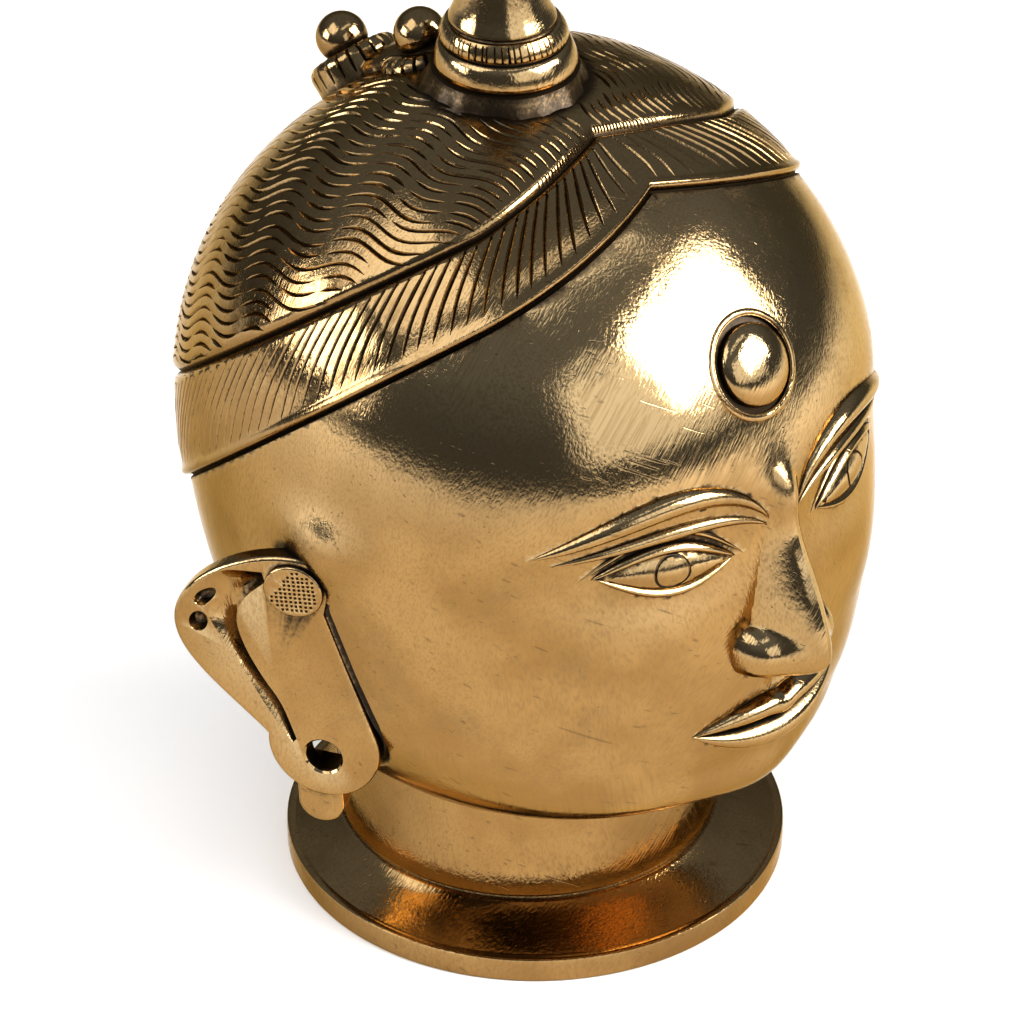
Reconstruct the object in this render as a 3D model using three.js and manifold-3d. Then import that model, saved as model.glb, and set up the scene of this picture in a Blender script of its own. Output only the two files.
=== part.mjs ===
// A brass devotional head on a flanged neck, cast in one piece and modelled as one closed solid.
// Units are millimetres, +Z is up and the face looks along -Y. The mirror plane is x = 0, and the
// origin is the centre of the flange's flat underside.

import * as THREE from "three";
import { mergeVertices } from "three/addons/utils/BufferGeometryUtils.js";
import Module from "manifold-3d";

const wasm = await Module();
wasm.setup();

const { lerp, smoothstep, degToRad } = THREE.MathUtils;

// Driving dimensions of the foot and neck
const flangeRadius = 70;
const flangeEdge = 7.5;
const neckRadius = 53.5;
const neckFoot = 14.5;
const neckY = 3;

// Driving dimensions of the head
const jawHeight = 49;
const widestHeight = 140;
const crownHeight = 236.5;
const crownY = 11.4;
const squareness = 2.15;
const domePower = { half: 2.3, front: 2.15, back: 1.93 };
const jawSections = [
  { z: jawHeight, half: 57.5, front: 60, back: 57 },
  { z: 53, half: 61.5, front: 69, back: 60 },
  { z: 60, half: 69, front: 80, back: 65 },
  { z: 75, half: 79.5, front: 86, back: 74 },
  { z: 100, half: 86.5, front: 89, back: 86.5 },
  { z: widestHeight, half: 89, front: 90.5, back: 98 },
];

// The hair is a band below and a cap above. Each has its lower edge in a plane that slopes back, and
// rises to a peak over the forehead.
const bandEdge = { height: 174.5, slope: 0.82, peak: 17, peakHalf: 60, peakPower: 1.7 };
const capEdge = { height: 203.5, slope: 0.76, peak: 13, peakHalf: 45, peakPower: 1.2 };
const bandThickness = 1.6;
const capThickness = 2.6;
const hairRoot = 4; // how far the hair's solids reach down into the skull
const lockRows = 6;
const lockWaves = 12;
const lockDepth = 0.9;

// The face is laid out on the usual canon: eyes at half the head's height, and equal thirds from
// hairline to brow, brow to nose and nose to chin
const faceThird = 51;
const chinHeight = 53;
const noseBase = chinHeight + faceThird;
const browHeight = noseBase + faceThird;
const eyeHeight = (jawHeight + crownHeight) / 2;
const mouthHeight = noseBase - faceThird / 3;
const eyeWidth = 35; // a fifth of the face's breadth, as is the gap between the eyes
const eyeX = eyeWidth;
const browEnd = 66;
const mouthHalf = 25;
const noseReach = 19;

// The disc on the forehead
const discHeight = 189;
const discRadius = 11;
const discRise = 4.5;
const discRingRadius = 13.2;

// The ear is a flat piece that flares out from the side of the head. Places on it are given in its
// own plane: x runs back from the ear's origin and y up from the lobe's centre.
const earFlare = degToRad(28);
const earOrigin = new THREE.Vector3(-90, -10, 78);
const earThickness = 6;
const earBevel = 1;
const earHeight = 59.5;
const earReach = 41;
const lobeRadius = 15.5;
const lobeHoleRadius = 5;
const lobeHole = new THREE.Vector2(0, -1.9);
const padCentre = new THREE.Vector2(7, 50);
const padRadius = 8.2;
const earPits = [
  { x: 31.8, y: 43, half: 3.6, tall: 2, turn: degToRad(-42) },
  { x: 33.9, y: 35, half: 2.4, tall: 3.1, turn: degToRad(20) },
];

// The finial on the crown, and the two knobbed rosettes behind it
const finialBase = 243;
const finialLean = degToRad(4);
const finialTop = 311;
const rosetteRadius = 12.5;
const knobRadius = 7.1;
const rosettes = [
  { back: 20.5, height: 6.5 }, // back is in degrees of the dome, from the crown
  { back: 39, height: 11 },
];

// Facets
const headColumns = 42;
const columnCrowding = 0.55; // share of the even spacing that is left between columns at the nose
const hairColumns = 48;
const footColumns = 40;
const finialColumns = 16;
const ridgeSteps = 7;
const earCurveSteps = 4;
const lobeHoleSteps = 8;

// A cubic through the jaw's sections, level at the widest height
function jawReach(key, z) {
  const last = jawSections.length - 1;
  let i = 0;
  while (i < last - 1 && z > jawSections[i + 1].z) i += 1;
  const rise = (n) =>
    (jawSections[n + 1][key] - jawSections[n][key]) / (jawSections[n + 1].z - jawSections[n].z);
  const tangent = (n) => {
    if (n === 0) return rise(0) * 1.3;
    if (n === last) return 0;
    const below = jawSections[n].z - jawSections[n - 1].z;
    const above = jawSections[n + 1].z - jawSections[n].z;
    return (rise(n - 1) * above + rise(n) * below) / (above + below);
  };
  const gap = jawSections[i + 1].z - jawSections[i].z;
  const t = (z - jawSections[i].z) / gap;
  return (
    (2 * t ** 3 - 3 * t ** 2 + 1) * jawSections[i][key] +
    (t ** 3 - 2 * t ** 2 + t) * gap * tangent(i) +
    (3 * t ** 2 - 2 * t ** 3) * jawSections[i + 1][key] +
    (t ** 3 - t ** 2) * gap * tangent(i + 1)
  );
}

// The head's horizontal section at a level: 0 at the jaw, 1 at the widest height, 2 at the crown
function headSection(level) {
  if (level <= 1) {
    const z = lerp(jawHeight, widestHeight, level);
    return {
      z,
      y: 0,
      half: jawReach("half", z),
      front: jawReach("front", z),
      back: jawReach("back", z),
    };
  }
  const rise = Math.sin(((level - 1) * Math.PI) / 2);
  const widest = jawSections[jawSections.length - 1];
  const shrink = (power) => Math.max(1 - rise ** power, 0) ** (1 / power);
  const y = crownY * rise ** 2;
  return {
    z: lerp(widestHeight, crownHeight, rise),
    y,
    half: widest.half * shrink(domePower.half),
    front: (widest.front + crownY) * shrink(domePower.front) - crownY + y,
    back: (widest.back - crownY) * shrink(domePower.back) + crownY - y,
  };
}

// Angles run from the front (-Y) towards +X
function sectionPoint(section, angle) {
  const across = Math.abs(Math.sin(angle)) / section.half;
  const along = Math.abs(Math.cos(angle)) / (Math.cos(angle) > 0 ? section.front : section.back);
  const radius = (across ** squareness + along ** squareness) ** (-1 / squareness);
  return new THREE.Vector3(
    radius * Math.sin(angle),
    section.y - radius * Math.cos(angle),
    section.z,
  );
}

function skullNormal(angle, level) {
  const step = 1e-3;
  const around = sectionPoint(headSection(level), angle + step).sub(
    sectionPoint(headSection(level), angle - step),
  );
  const up = sectionPoint(headSection(level + step), angle).sub(
    sectionPoint(headSection(level - step), angle),
  );
  return around.cross(up).normalize();
}

function skullPoint(angle, level, offset = 0) {
  const point = sectionPoint(headSection(level), angle);
  return offset ? point.addScaledVector(skullNormal(angle, level), offset) : point;
}

const levelAt = (z) =>
  z <= widestHeight
    ? (z - jawHeight) / (widestHeight - jawHeight)
    : 1 + (Math.asin((z - widestHeight) / (crownHeight - widestHeight)) * 2) / Math.PI;

// The level where a hair edge crosses the skull, found by halving
function edgeLevel(edge, angle) {
  let low = 0.02;
  let high = 1.98;
  for (let i = 0; i < 30; i += 1) {
    const middle = (low + high) / 2;
    const p = skullPoint(angle, middle);
    const peak = edge.peak * Math.max(1 - Math.abs(p.x) / edge.peakHalf, 0) ** edge.peakPower;
    if (p.z + edge.slope * p.y < edge.height + (p.y < crownY ? peak : 0)) low = middle;
    else high = middle;
  }
  return (low + high) / 2;
}

// Relief of the face, as a height over the skull at a place seen from the front
const bump = (distance, width) => Math.exp(-((distance / width) ** 2));

function noseRelief(x, z) {
  const down = (browHeight - z) / (browHeight - noseBase);
  const slope = smoothstep(down, 0, 1);
  const height = lerp(3, noseReach, slope) * smoothstep(z, noseBase - 4, noseBase + 5);
  const half = lerp(5, 10, slope);
  const bridge = down < 0 ? bump(down, 0.12) : 1;
  const ridge = height * bridge * (1 - smoothstep(x, 0.1 * half, 1.3 * half));
  const wing = 8 * bump(Math.hypot(x - 12, z - noseBase - 4), 6);
  return Math.max(ridge, wing);
}

function eyeRelief(x, z) {
  const across = (x - eyeX) / (eyeWidth / 2);
  const tall = z - eyeHeight;
  return 2.8 * bump(across, 0.8) * bump(tall, 6) - 4 * bump(across, 1.5) * bump(tall - 2, 13);
}

function mouthRelief(x, z) {
  const mouth = 2 * bump(x, 20) * bump(z - mouthHeight, 10);
  const chin = 3 * bump(x, 16) * bump(z - chinHeight - 11, 9);
  return mouth + chin;
}

function faceRelief(point) {
  if (point.y > -20) return 0;
  const x = Math.abs(point.x);
  return noseRelief(x, point.z) + eyeRelief(x, point.z) + mouthRelief(x, point.z);
}

const evenAngles = (count) =>
  Array.from({ length: count }, (_, i) => Math.PI * ((2 * i) / count - 1));

// The face's columns are crowded towards the nose
const faceAngles = evenAngles(headColumns).map((angle) => {
  const turn = angle / Math.PI;
  return Math.PI * (columnCrowding * turn + (1 - columnCrowding) * turn ** 3);
});
const hairAngles = evenAngles(hairColumns);

const circle = (count, radius, z, x = 0, y = 0) =>
  evenAngles(count).map(
    (angle) => new THREE.Vector3(x + radius * Math.sin(angle), y - radius * Math.cos(angle), z),
  );

// Triangles between rings of equal count. The ends are closed with fans, or the last ring joins the
// first.
function loft(rings, wrap = false) {
  const count = rings[0].length;
  const points = rings.flat();
  const faces = [];
  const spans = wrap ? rings.length : rings.length - 1;
  for (let i = 0; i < spans; i += 1) {
    const low = i * count;
    const high = ((i + 1) % rings.length) * count;
    for (let j = 0; j < count; j += 1) {
      const k = (j + 1) % count;
      faces.push([low + j, low + k, high + k], [low + j, high + k, high + j]);
    }
  }
  if (!wrap) {
    const middle = (ring) =>
      ring.reduce((sum, p) => sum.add(p), new THREE.Vector3()).divideScalar(ring.length);
    const bottom = points.push(middle(rings[0])) - 1;
    const top = points.push(middle(rings[rings.length - 1])) - 1;
    const last = (rings.length - 1) * count;
    for (let j = 0; j < count; j += 1) {
      const k = (j + 1) % count;
      faces.push([bottom, k, j], [top, last + j, last + k]);
    }
  }
  const geometry = new THREE.BufferGeometry().setFromPoints(points);
  geometry.setIndex(faces.flat());
  return geometry;
}

function solid(geometry) {
  const bare = geometry.clone();
  bare.deleteAttribute("normal");
  bare.deleteAttribute("uv");
  const merged = mergeVertices(bare, 1e-4);
  return new wasm.Manifold(
    new wasm.Mesh({
      numProp: 3,
      vertProperties: merged.attributes.position.array,
      triVerts: new Uint32Array(merged.index.array),
    }),
  );
}

function turnedOver(geometry) {
  const count = geometry.index ? geometry.index.count : geometry.attributes.position.count;
  const corner = (i) => (geometry.index ? geometry.index.getX(i) : i);
  const turned = [];
  for (let i = 0; i < count; i += 3) turned.push(corner(i), corner(i + 2), corner(i + 1));
  return geometry.setIndex(turned);
}

const mirrored = (geometry) =>
  turnedOver(geometry.clone().applyMatrix4(new THREE.Matrix4().makeScale(-1, 1, 1)));

// Flange and neck. The neck stands a little behind the flange's centre, and runs up into the head.
function makeFoot() {
  const stack = [
    [flangeRadius - 1, 0, 0],
    [flangeRadius, 1, 0],
    [flangeRadius, flangeEdge - 0.8, 0],
    [flangeRadius - 1, flangeEdge, 0],
    [flangeRadius - 4, flangeEdge + 0.6, 0],
    [neckRadius + 3, neckFoot - 2, neckY * 0.8],
    [neckRadius, neckFoot + 1, neckY],
    [neckRadius, jawHeight + 12, neckY],
  ];
  return loft(stack.map(([radius, z, y]) => circle(footColumns, radius, z, 0, y)));
}

// A place on the face, with its relief, given as seen from the front
function facePlace(x, z) {
  const level = levelAt(z);
  const section = headSection(level);
  const y = -section.front * (1 - (Math.abs(x) / section.half) ** squareness) ** (1 / squareness);
  const angle = Math.atan2(x, -y);
  const normal = skullNormal(angle, level);
  const place = sectionPoint(section, angle);
  return { point: place.addScaledVector(normal, faceRelief(place)), normal };
}

// Face and skull. Rows stand closer where the face has more to show, and the hair hides the rest.
function makeSkull() {
  const heights = [
    49, 51, 55, 60, 67, 75, 84, 93, 100, 104.5, 110, 118, 127, 134, 140, 145, 150, 157, 166, 177,
    190, 203, 216, 227, 233.5,
  ];
  return loft(
    heights.map((z) =>
      faceAngles.map((angle) => {
        const relief = faceRelief(skullPoint(angle, levelAt(z)));
        return skullPoint(angle, levelAt(z), relief);
      }),
    ),
  );
}

// A raised ridge on the face, along a path seen from the front. It tapers to a point at each end.
function makeRidge(path, width, height) {
  const rings = [];
  for (let i = 0; i <= ridgeSteps; i += 1) {
    const along = i / ridgeSteps;
    const { point, normal } = facePlace(...path(along));
    const ahead = facePlace(...path(along + 0.01)).point;
    const side = normal.clone().cross(ahead.sub(point)).normalize();
    const swell = Math.max(Math.sin(Math.PI * along) ** 0.7, 0.05);
    const ring = [0, 55, 125, 180, 270].map((degrees) =>
      point
        .clone()
        .addScaledVector(side, width * swell * Math.cos(degToRad(degrees)))
        .addScaledVector(normal, height * swell * Math.sin(degToRad(degrees))),
    );
    rings.push(ring);
  }
  return loft(rings);
}

// Brows with a fold under them, eyelids and lips
function makeFaceRidges() {
  const arch = (t) => Math.sin(Math.PI * t ** 0.75);
  const brow = (drop, end) => (t) => [
    lerp(5, end, t),
    browHeight - 6 + 13 * arch(t) - drop * (0.3 + arch(t)) + 3 * t,
  ];
  const lid = (rise) => (t) => [
    eyeX + (t - 0.5) * eyeWidth,
    eyeHeight - 1 + rise * Math.sin(Math.PI * t) + 3 * t,
  ];
  const lip = (rise, bow) => (t) => {
    const across = 2 * t - 1;
    return [
      mouthHalf * across,
      mouthHeight + rise * (1 - across ** 2) - bow * bump(across, 0.12) + 1.5 * across ** 2,
    ];
  };
  const oneSide = [
    makeRidge(brow(0, browEnd), 2.4, 2.4),
    makeRidge(brow(5.5, browEnd - 4), 1.7, 1.8),
    makeRidge(lid(7), 1.5, 1.8),
    makeRidge(lid(-6), 1.2, 1.4),
  ];
  const lips = [makeRidge(lip(4.4, 1.2), 3, 3), makeRidge(lip(-4.6, 0), 3.6, 3.4)];
  return [...oneSide, ...oneSide.map(mirrored), ...lips];
}

function makeFinial() {
  const stack = [
    [20, finialBase - 12],
    [21, finialBase - 4],
    [19.4, finialBase - 0.4],
    [19.8, finialBase + 0.8],
    [18.6, finialBase + 4],
    [16.6, finialBase + 6],
    [15.9, finialBase + 6.5],
    [16.7, finialBase + 7.3],
    [14.9, finialBase + 12],
    [13.4, finialBase + 12.7],
    [11.8, finialBase + 18],
    [8.4, finialBase + 31],
    [6, finialBase + 44],
    [4.4, finialBase + 54],
    [4.2, finialBase + 57],
    [5.6, finialBase + 60.5],
    [5.6, finialBase + 63.5],
    [3.4, finialTop - 1.2],
  ];
  const aside = (z) => Math.tan(finialLean) * Math.max(z - finialBase, 0) * Math.SQRT1_2;
  return loft(
    stack.map(([radius, z]) => circle(finialColumns, radius, z, -aside(z), crownY + aside(z))),
  );
}

// The plain band of hair between its own edge and the cap
function makeBand() {
  const low = hairAngles.map((angle) => edgeLevel(bandEdge, angle));
  const high = hairAngles.map((angle) => edgeLevel(capEdge, angle) + 0.03);
  const row = (share, offset) =>
    hairAngles.map((angle, i) => skullPoint(angle, lerp(low[i], high[i], share), offset));
  return loft(
    [
      row(0, -hairRoot),
      row(0, bandThickness - 0.5),
      row(0.03, bandThickness),
      row(0.5, bandThickness),
      row(1, bandThickness),
      row(1, -hairRoot),
    ],
    true,
  );
}

// The cap of waved locks, from its edge up to the finial's foot
function makeCap() {
  const low = hairAngles.map((angle) => edgeLevel(capEdge, angle));
  const high = 1.92;
  const row = (share, offset, depth = 0) =>
    hairAngles.map((angle, i) => {
      const wave = 0.35 * Math.sin(lockWaves * angle);
      const swing = depth ? wave / lockRows : 0;
      return skullPoint(angle, lerp(low[i], high, share + swing), offset - depth);
    });
  const locks = [];
  for (let i = 1; i < lockRows; i += 1) {
    locks.push(row((i - 0.28) / lockRows, capThickness, 1e-6));
    locks.push(row(i / lockRows, capThickness, lockDepth));
  }
  return loft(
    [
      row(0, -hairRoot),
      row(0, capThickness - 0.6),
      row(0.02, capThickness),
      ...locks,
      row(1, capThickness),
      row(1, -hairRoot),
    ],
    true,
  );
}

// A lathed shape that stands on the skull, its axis along the skull's normal
function onSkull(profile, angle, level, segments) {
  const geometry = new THREE.LatheGeometry(
    profile.map(([radius, height]) => new THREE.Vector2(radius, height)),
    segments,
  );
  const turn = new THREE.Quaternion().setFromUnitVectors(
    new THREE.Vector3(0, 1, 0),
    skullNormal(angle, level),
  );
  return geometry
    .applyQuaternion(turn)
    .translate(...skullPoint(angle, level).toArray());
}

function makeForeheadDisc() {
  const arc = [0.2, 0.45, 0.7, 0.9, 1].map((share) => [
    discRadius * Math.cos((share * Math.PI) / 2),
    discRise * Math.sin((share * Math.PI) / 2),
  ]);
  arc[arc.length - 1][0] = 0;
  const dome = [[0, -3], [discRadius, -3], ...arc];
  const ring = [
    [discRingRadius - 1, -1.5],
    [discRingRadius + 1.2, -1.5],
    [discRingRadius + 1, 0.4],
    [discRingRadius, 1],
    [discRingRadius - 1, 0.4],
    [discRingRadius - 1, -1.5],
  ];
  return [dome, ring].map((profile) => onSkull(profile, 0, levelAt(discHeight), 16));
}

// A rosette with a ball on it
function makeRosette({ back, height }) {
  const ballAt = height + 4;
  const ball = [-50, -20, 10, 40, 65, 90].map((tilt) => [
    tilt === 90 ? 0 : knobRadius * Math.cos(degToRad(tilt)),
    ballAt + knobRadius * Math.sin(degToRad(tilt)),
  ]);
  const profile = [
    [0, -6],
    [rosetteRadius, -6],
    [rosetteRadius, height - 2],
    [rosetteRadius - 2, height],
    [knobRadius - 0.6, height + 0.4],
    ...ball.slice(1),
  ];
  return onSkull(profile, Math.PI, 2 - back / 90, 12);
}

const polygon = (corners) => new THREE.Shape(corners.map(([x, y]) => new THREE.Vector2(x, y)));

// The ear's outline: pad, helix, lobe, and the straight front edge that meets the cheek
function earOutline() {
  const shape = new THREE.Shape();
  shape.moveTo(-1, 43.5);
  shape.lineTo(-2.5, 50.5);
  shape.quadraticCurveTo(-1, earHeight, 6.5, earHeight);
  shape.bezierCurveTo(22, earHeight, earReach, 47.5, earReach, 34.5);
  shape.bezierCurveTo(earReach, 23, 27.5, 14, lobeRadius, 2.5);
  shape.absarc(0, 1, lobeRadius, degToRad(5), degToRad(-200), true);
  shape.closePath();
  return shape;
}

// The deep channel between helix and slab
function earChannel() {
  return polygon([
    [15.5, 52.7],
    [22.9, 51.4],
    [27.2, 48],
    [28.9, 43],
    [28.5, 37],
    [25.1, 30.2],
    [19, 20.4],
    [13.4, 11.1],
    [8, 1.6],
    [7, 3.4],
    [11.2, 13.4],
    [16.3, 20.3],
    [20.9, 28.6],
    [23.4, 36],
    [23, 41],
    [20.5, 45.5],
    [17.2, 48.8],
  ]);
}

// The stub of metal that is left under the lobe
function earTab() {
  const middle = 2;
  const half = 6.3;
  const shape = new THREE.Shape();
  shape.moveTo(middle - half, -10);
  shape.absarc(middle, -19.8, half, Math.PI, 2 * Math.PI, false);
  shape.lineTo(middle + half, -10);
  shape.closePath();
  return shape;
}

// The root that joins the upper ear to the head, inside the ear's outline
function earRoot() {
  return polygon([
    [-1.5, 55.5],
    [-4.5, 31.5],
    [-9.5, 15.5],
    [2.5, 17.5],
    [18.5, 31.5],
    [22.5, 45.5],
    [10.5, 55.5],
  ]);
}

function ellipse({ x, y }, half, tall, turn = 0) {
  const shape = new THREE.Shape();
  shape.absellipse(x, y, half, tall, 0, 2 * Math.PI, false, turn);
  return shape;
}

// A shape in the ear's plane, extruded between two depths measured outwards from the ear's face
function earSlice(shape, from, to, { bevel = 0, steps = earCurveSteps } = {}) {
  const geometry = new THREE.ExtrudeGeometry(shape, {
    depth: to - from - 2 * bevel,
    bevelEnabled: bevel > 0,
    bevelThickness: bevel,
    bevelSize: bevel,
    bevelOffset: -bevel,
    bevelSegments: 1,
    curveSegments: steps,
  }).translate(0, 0, from + bevel);
  // back, up and outward make a left-handed set, so the faces are turned over
  const back = new THREE.Vector3(-Math.sin(earFlare), Math.cos(earFlare), 0);
  const up = new THREE.Vector3(0, 0, 1);
  const outward = new THREE.Vector3(-Math.cos(earFlare), -Math.sin(earFlare), 0);
  const place = new THREE.Matrix4().makeBasis(back, up, outward).setPosition(earOrigin);
  return turnedOver(geometry.applyMatrix4(place));
}

function makeEar() {
  const inside = -earThickness;
  const rootLength = 22;
  const channelDepth = 4.5;
  const pitDepth = 2.5;
  const clear = 3; // how far a cut starts in front of the face, or runs on behind the ear
  const added = [
    earSlice(earOutline(), inside, 0, { bevel: earBevel }),
    earSlice(earRoot(), inside - rootLength, inside + 2),
    earSlice(earTab(), inside + 0.5, -0.8, { bevel: earBevel }),
    earSlice(ellipse(padCentre, padRadius, 0.93 * padRadius), -2, 1.2, { bevel: 0.8 }),
  ];
  const hole = ellipse(lobeHole, lobeHoleRadius, lobeHoleRadius);
  const cut = [
    earSlice(earChannel(), -channelDepth, clear),
    earSlice(hole, inside - clear, clear, { steps: lobeHoleSteps }),
    ...earPits.map((pit) => earSlice(ellipse(pit, pit.half, pit.tall, pit.turn), -pitDepth, clear)),
  ];
  return { added, cut };
}

function makeHead() {
  const ear = makeEar();
  const body = [
    makeFoot(),
    makeSkull(),
    makeFinial(),
    makeBand(),
    makeCap(),
    ...makeForeheadDisc(),
    ...makeFaceRidges(),
    ...rosettes.map(makeRosette),
    ...ear.added,
    ...ear.added.map(mirrored),
  ];
  const cuts = [...ear.cut, ...ear.cut.map(mirrored)];
  const { union } = wasm.Manifold;
  const mesh = union(body.map(solid)).subtract(union(cuts.map(solid))).getMesh();
  const geometry = new THREE.BufferGeometry();
  geometry.setAttribute("position", new THREE.BufferAttribute(mesh.vertProperties, 3));
  geometry.setIndex(new THREE.BufferAttribute(mesh.triVerts, 1));
  geometry.computeVertexNormals();
  return geometry;
}

const brass = new THREE.MeshStandardMaterial({ color: 0xb08a4e, roughness: 0.3, metalness: 1 });

const head = new THREE.Mesh(makeHead(), brass);
head.name = "brass_head";

const part = new THREE.Group();
part.add(head);

export default part;
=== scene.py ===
"""A cast brass devotional head on a flanged neck, dressed for the render.

Shapes are worked out in millimetres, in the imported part's own frame: +Z is up, the face looks along -Y,
+X is towards the head's own left ear, and the origin is the centre of the flange's flat underside.
They become metres when a mesh is made.
"""

import math
from functools import partial

import bmesh
import bpy
import numpy as np
from mathutils import Matrix, Vector
from mathutils.bvhtree import BVHTree

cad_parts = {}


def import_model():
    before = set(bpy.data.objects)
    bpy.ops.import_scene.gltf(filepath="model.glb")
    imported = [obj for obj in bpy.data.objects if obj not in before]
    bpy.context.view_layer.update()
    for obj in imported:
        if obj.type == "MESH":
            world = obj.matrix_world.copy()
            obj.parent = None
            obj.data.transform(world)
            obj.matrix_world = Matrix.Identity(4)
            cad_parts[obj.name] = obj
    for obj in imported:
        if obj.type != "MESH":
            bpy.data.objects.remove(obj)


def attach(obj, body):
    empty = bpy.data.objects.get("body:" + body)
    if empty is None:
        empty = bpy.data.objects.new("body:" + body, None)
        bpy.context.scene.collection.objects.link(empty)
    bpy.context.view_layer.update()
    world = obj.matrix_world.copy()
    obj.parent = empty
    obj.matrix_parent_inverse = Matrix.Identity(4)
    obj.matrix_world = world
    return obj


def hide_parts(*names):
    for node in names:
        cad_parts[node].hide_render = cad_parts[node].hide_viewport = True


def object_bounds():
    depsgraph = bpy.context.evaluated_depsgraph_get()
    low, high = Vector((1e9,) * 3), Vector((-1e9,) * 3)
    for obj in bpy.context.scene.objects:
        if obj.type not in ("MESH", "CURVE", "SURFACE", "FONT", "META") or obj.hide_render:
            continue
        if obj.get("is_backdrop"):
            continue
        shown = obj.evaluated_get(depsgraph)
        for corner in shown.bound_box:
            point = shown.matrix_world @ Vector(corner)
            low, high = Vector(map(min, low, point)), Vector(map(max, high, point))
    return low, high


MM = 0.001

# Foot and neck: radius, height, and how far back the ring's centre lies
FOOT = (
    (68.9, 0, 0), (69.7, 0.3, 0), (70, 1.0, 0), (70, 6.5, 0), (69.8, 7.1, 0), (69.3, 7.45, 0),
    (68.4, 7.5, 0), (67.9, 7.35, 0), (67.5, 7.35, 0), (67.1, 7.6, 0.02), (66, 7.95, 0.1),
    (63, 9.3, 0.8), (60, 10.7, 1.5), (57.4, 12.1, 2.2), (55.6, 13.2, 2.6), (54.6, 14.0, 2.8),
    (54.0, 14.4, 2.9), (53.3, 14.5, 3), (53.2, 14.9, 3), (53.6, 15.8, 3), (53.55, 20, 3),
    (53.5, 30, 3), (53.5, 42, 3), (53.5, 62, 3),
)

# Head: reaches from the middle to each side, the front and the back, by height from jaw to widest
JAW_HEIGHT = 49.0
WIDEST_HEIGHT = 140.0
CROWN_HEIGHT = 236.5
CROWN_Y = 11.4
SQUARENESS = 2.15
DOME_POWER = {"half": 2.3, "front": 2.15, "back": 1.93}
JAW_SECTIONS = {
    "z": (49, 53, 60, 75, 100, 140),
    "half": (57.5, 61.5, 69, 79.5, 86.5, 89),
    "front": (60, 69, 80, 86, 89, 90.5),
    "back": (57, 60, 65, 74, 86.5, 98),
}

# Hair: a band below and a cap above, each with a lower edge that slopes back and peaks over the forehead
BAND_EDGE = {"height": 174.5, "slope": 0.82, "peak": 17.0, "peak_half": 60.0, "power": 1.7}
CAP_EDGE = {"height": 203.5, "slope": 0.76, "peak": 13.0, "peak_half": 45.0, "power": 1.2}
HAIR_ROOT = -4.0
BAND_HEIGHT = 1.85
CAP_HEIGHT = 2.6
# Height over the skull, by distance above the lower edge and then below the upper one
BAND_RIM = ((0, 1.1), (0.35, 1.75), (0.95, 2.1), (1.9, 2.1), (2.7, 1.75), (3.6, 1.6), (6, 1.65))
BAND_TOP = ((6, 1.9), (3.2, 2.0), (2.2, 1.85), (1.3, 1.35), (0.5, 0.6), (0.05, 0.25))
CAP_RIM = ((0.05, 0.25), (0.5, 0.75), (1.0, 1.45), (1.7, 2.1), (2.7, 2.5), (4.2, 2.6), (8, 2.6))

# The hair's strokes run like meridians round an axis that dips to the back
FLOW_CENTRE = np.array([0.0, 0.0, 150.0])
FLOW_DIP = 0.3
FLOW_RADIUS = 88.0
FLOW_START = 25
ROW_STEP = math.radians(2.08)
ROW_COUNT = 42
WAVE_LENGTH = 26.5
WAVE_CREST = 8.0
WAVE_REACH = 1.75
BAND_SPACING = 3.9

# Half width and depth of each kind of chased stroke
HAIR_STROKE = (1.0, 0.75)
CORD_NICK = (0.5, 0.38)
FINIAL_NICK = (0.5, 0.45)
FLUTE = (1.1, 0.9)
HAIRLINE = (1.25, 0.9)
EAR_CREASE = (2.9, 2.0)

# Face, laid out on the usual canon: eyes at half the head's height and three equal thirds
FACE_THIRD = 51.0
CHIN_HEIGHT = 53.0
NOSE_BASE = CHIN_HEIGHT + FACE_THIRD
BROW_HEIGHT = NOSE_BASE + FACE_THIRD
EYE_HEIGHT = (JAW_HEIGHT + CROWN_HEIGHT) / 2
MOUTH_HEIGHT = NOSE_BASE - FACE_THIRD / 3
EYE_WIDTH = 35.0
EYE_X = EYE_WIDTH
EYE_RISE = 7.0
EYE_DROP = 6.0
EYE_TILT = 3.0
IRIS_RADIUS = 4.6
BROW_START = 5
BROW_END = 66.0
MOUTH_HALF = 27.0
NOSE_ROOT = 2.5
NOSE_REACH = 19.0
WING_REACH = 10.5
# Soft forms of the lower face and the brow: height, middle and half width aside, and the same upwards
FACE_FORMS = (
    (2, 0, 20, MOUTH_HEIGHT, 10),
    (3, 0, 16, CHIN_HEIGHT + 11, 9),
    (-0.9, 0, 3.2, MOUTH_HEIGHT + 10.5, 4.5),
    (1.2, 44, 15, 112, 15),
    (2.5, 0, 7, BROW_HEIGHT + 1, 8),
)

# Disc on the forehead
DISC_HEIGHT = 189.0
DISC_RADIUS = 11.0
DISC_RISE = 4.6
DISC_GROOVE = 13.2
DISC_CORNERS = 72

# Ear: places are x back and y up from the lobe's centre, in the plane of the ear's flat face
EAR_FLARE = math.radians(28)
EAR_ORIGIN = np.array([-90.0, -10.0, 78.0])
EAR_THICKNESS = 6.0
LOBE_RADIUS = 15.5
# The lobe's hole and the punched pad, each by its middle and radius; the pad is a little less tall than wide
LOBE_HOLE = (0.0, -1.9, 5.0)
PAD = (7.0, 50.0, 8.2)
PAD_TALL = 0.93
PAD_RISE = 1.3
EAR_ROOT = ((-1.5, 55.5), (-4.5, 31.5), (-9.5, 15.5), (2.5, 17.5), (18.5, 31.5), (22.5, 45.5), (10.5, 55.5))
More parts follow.
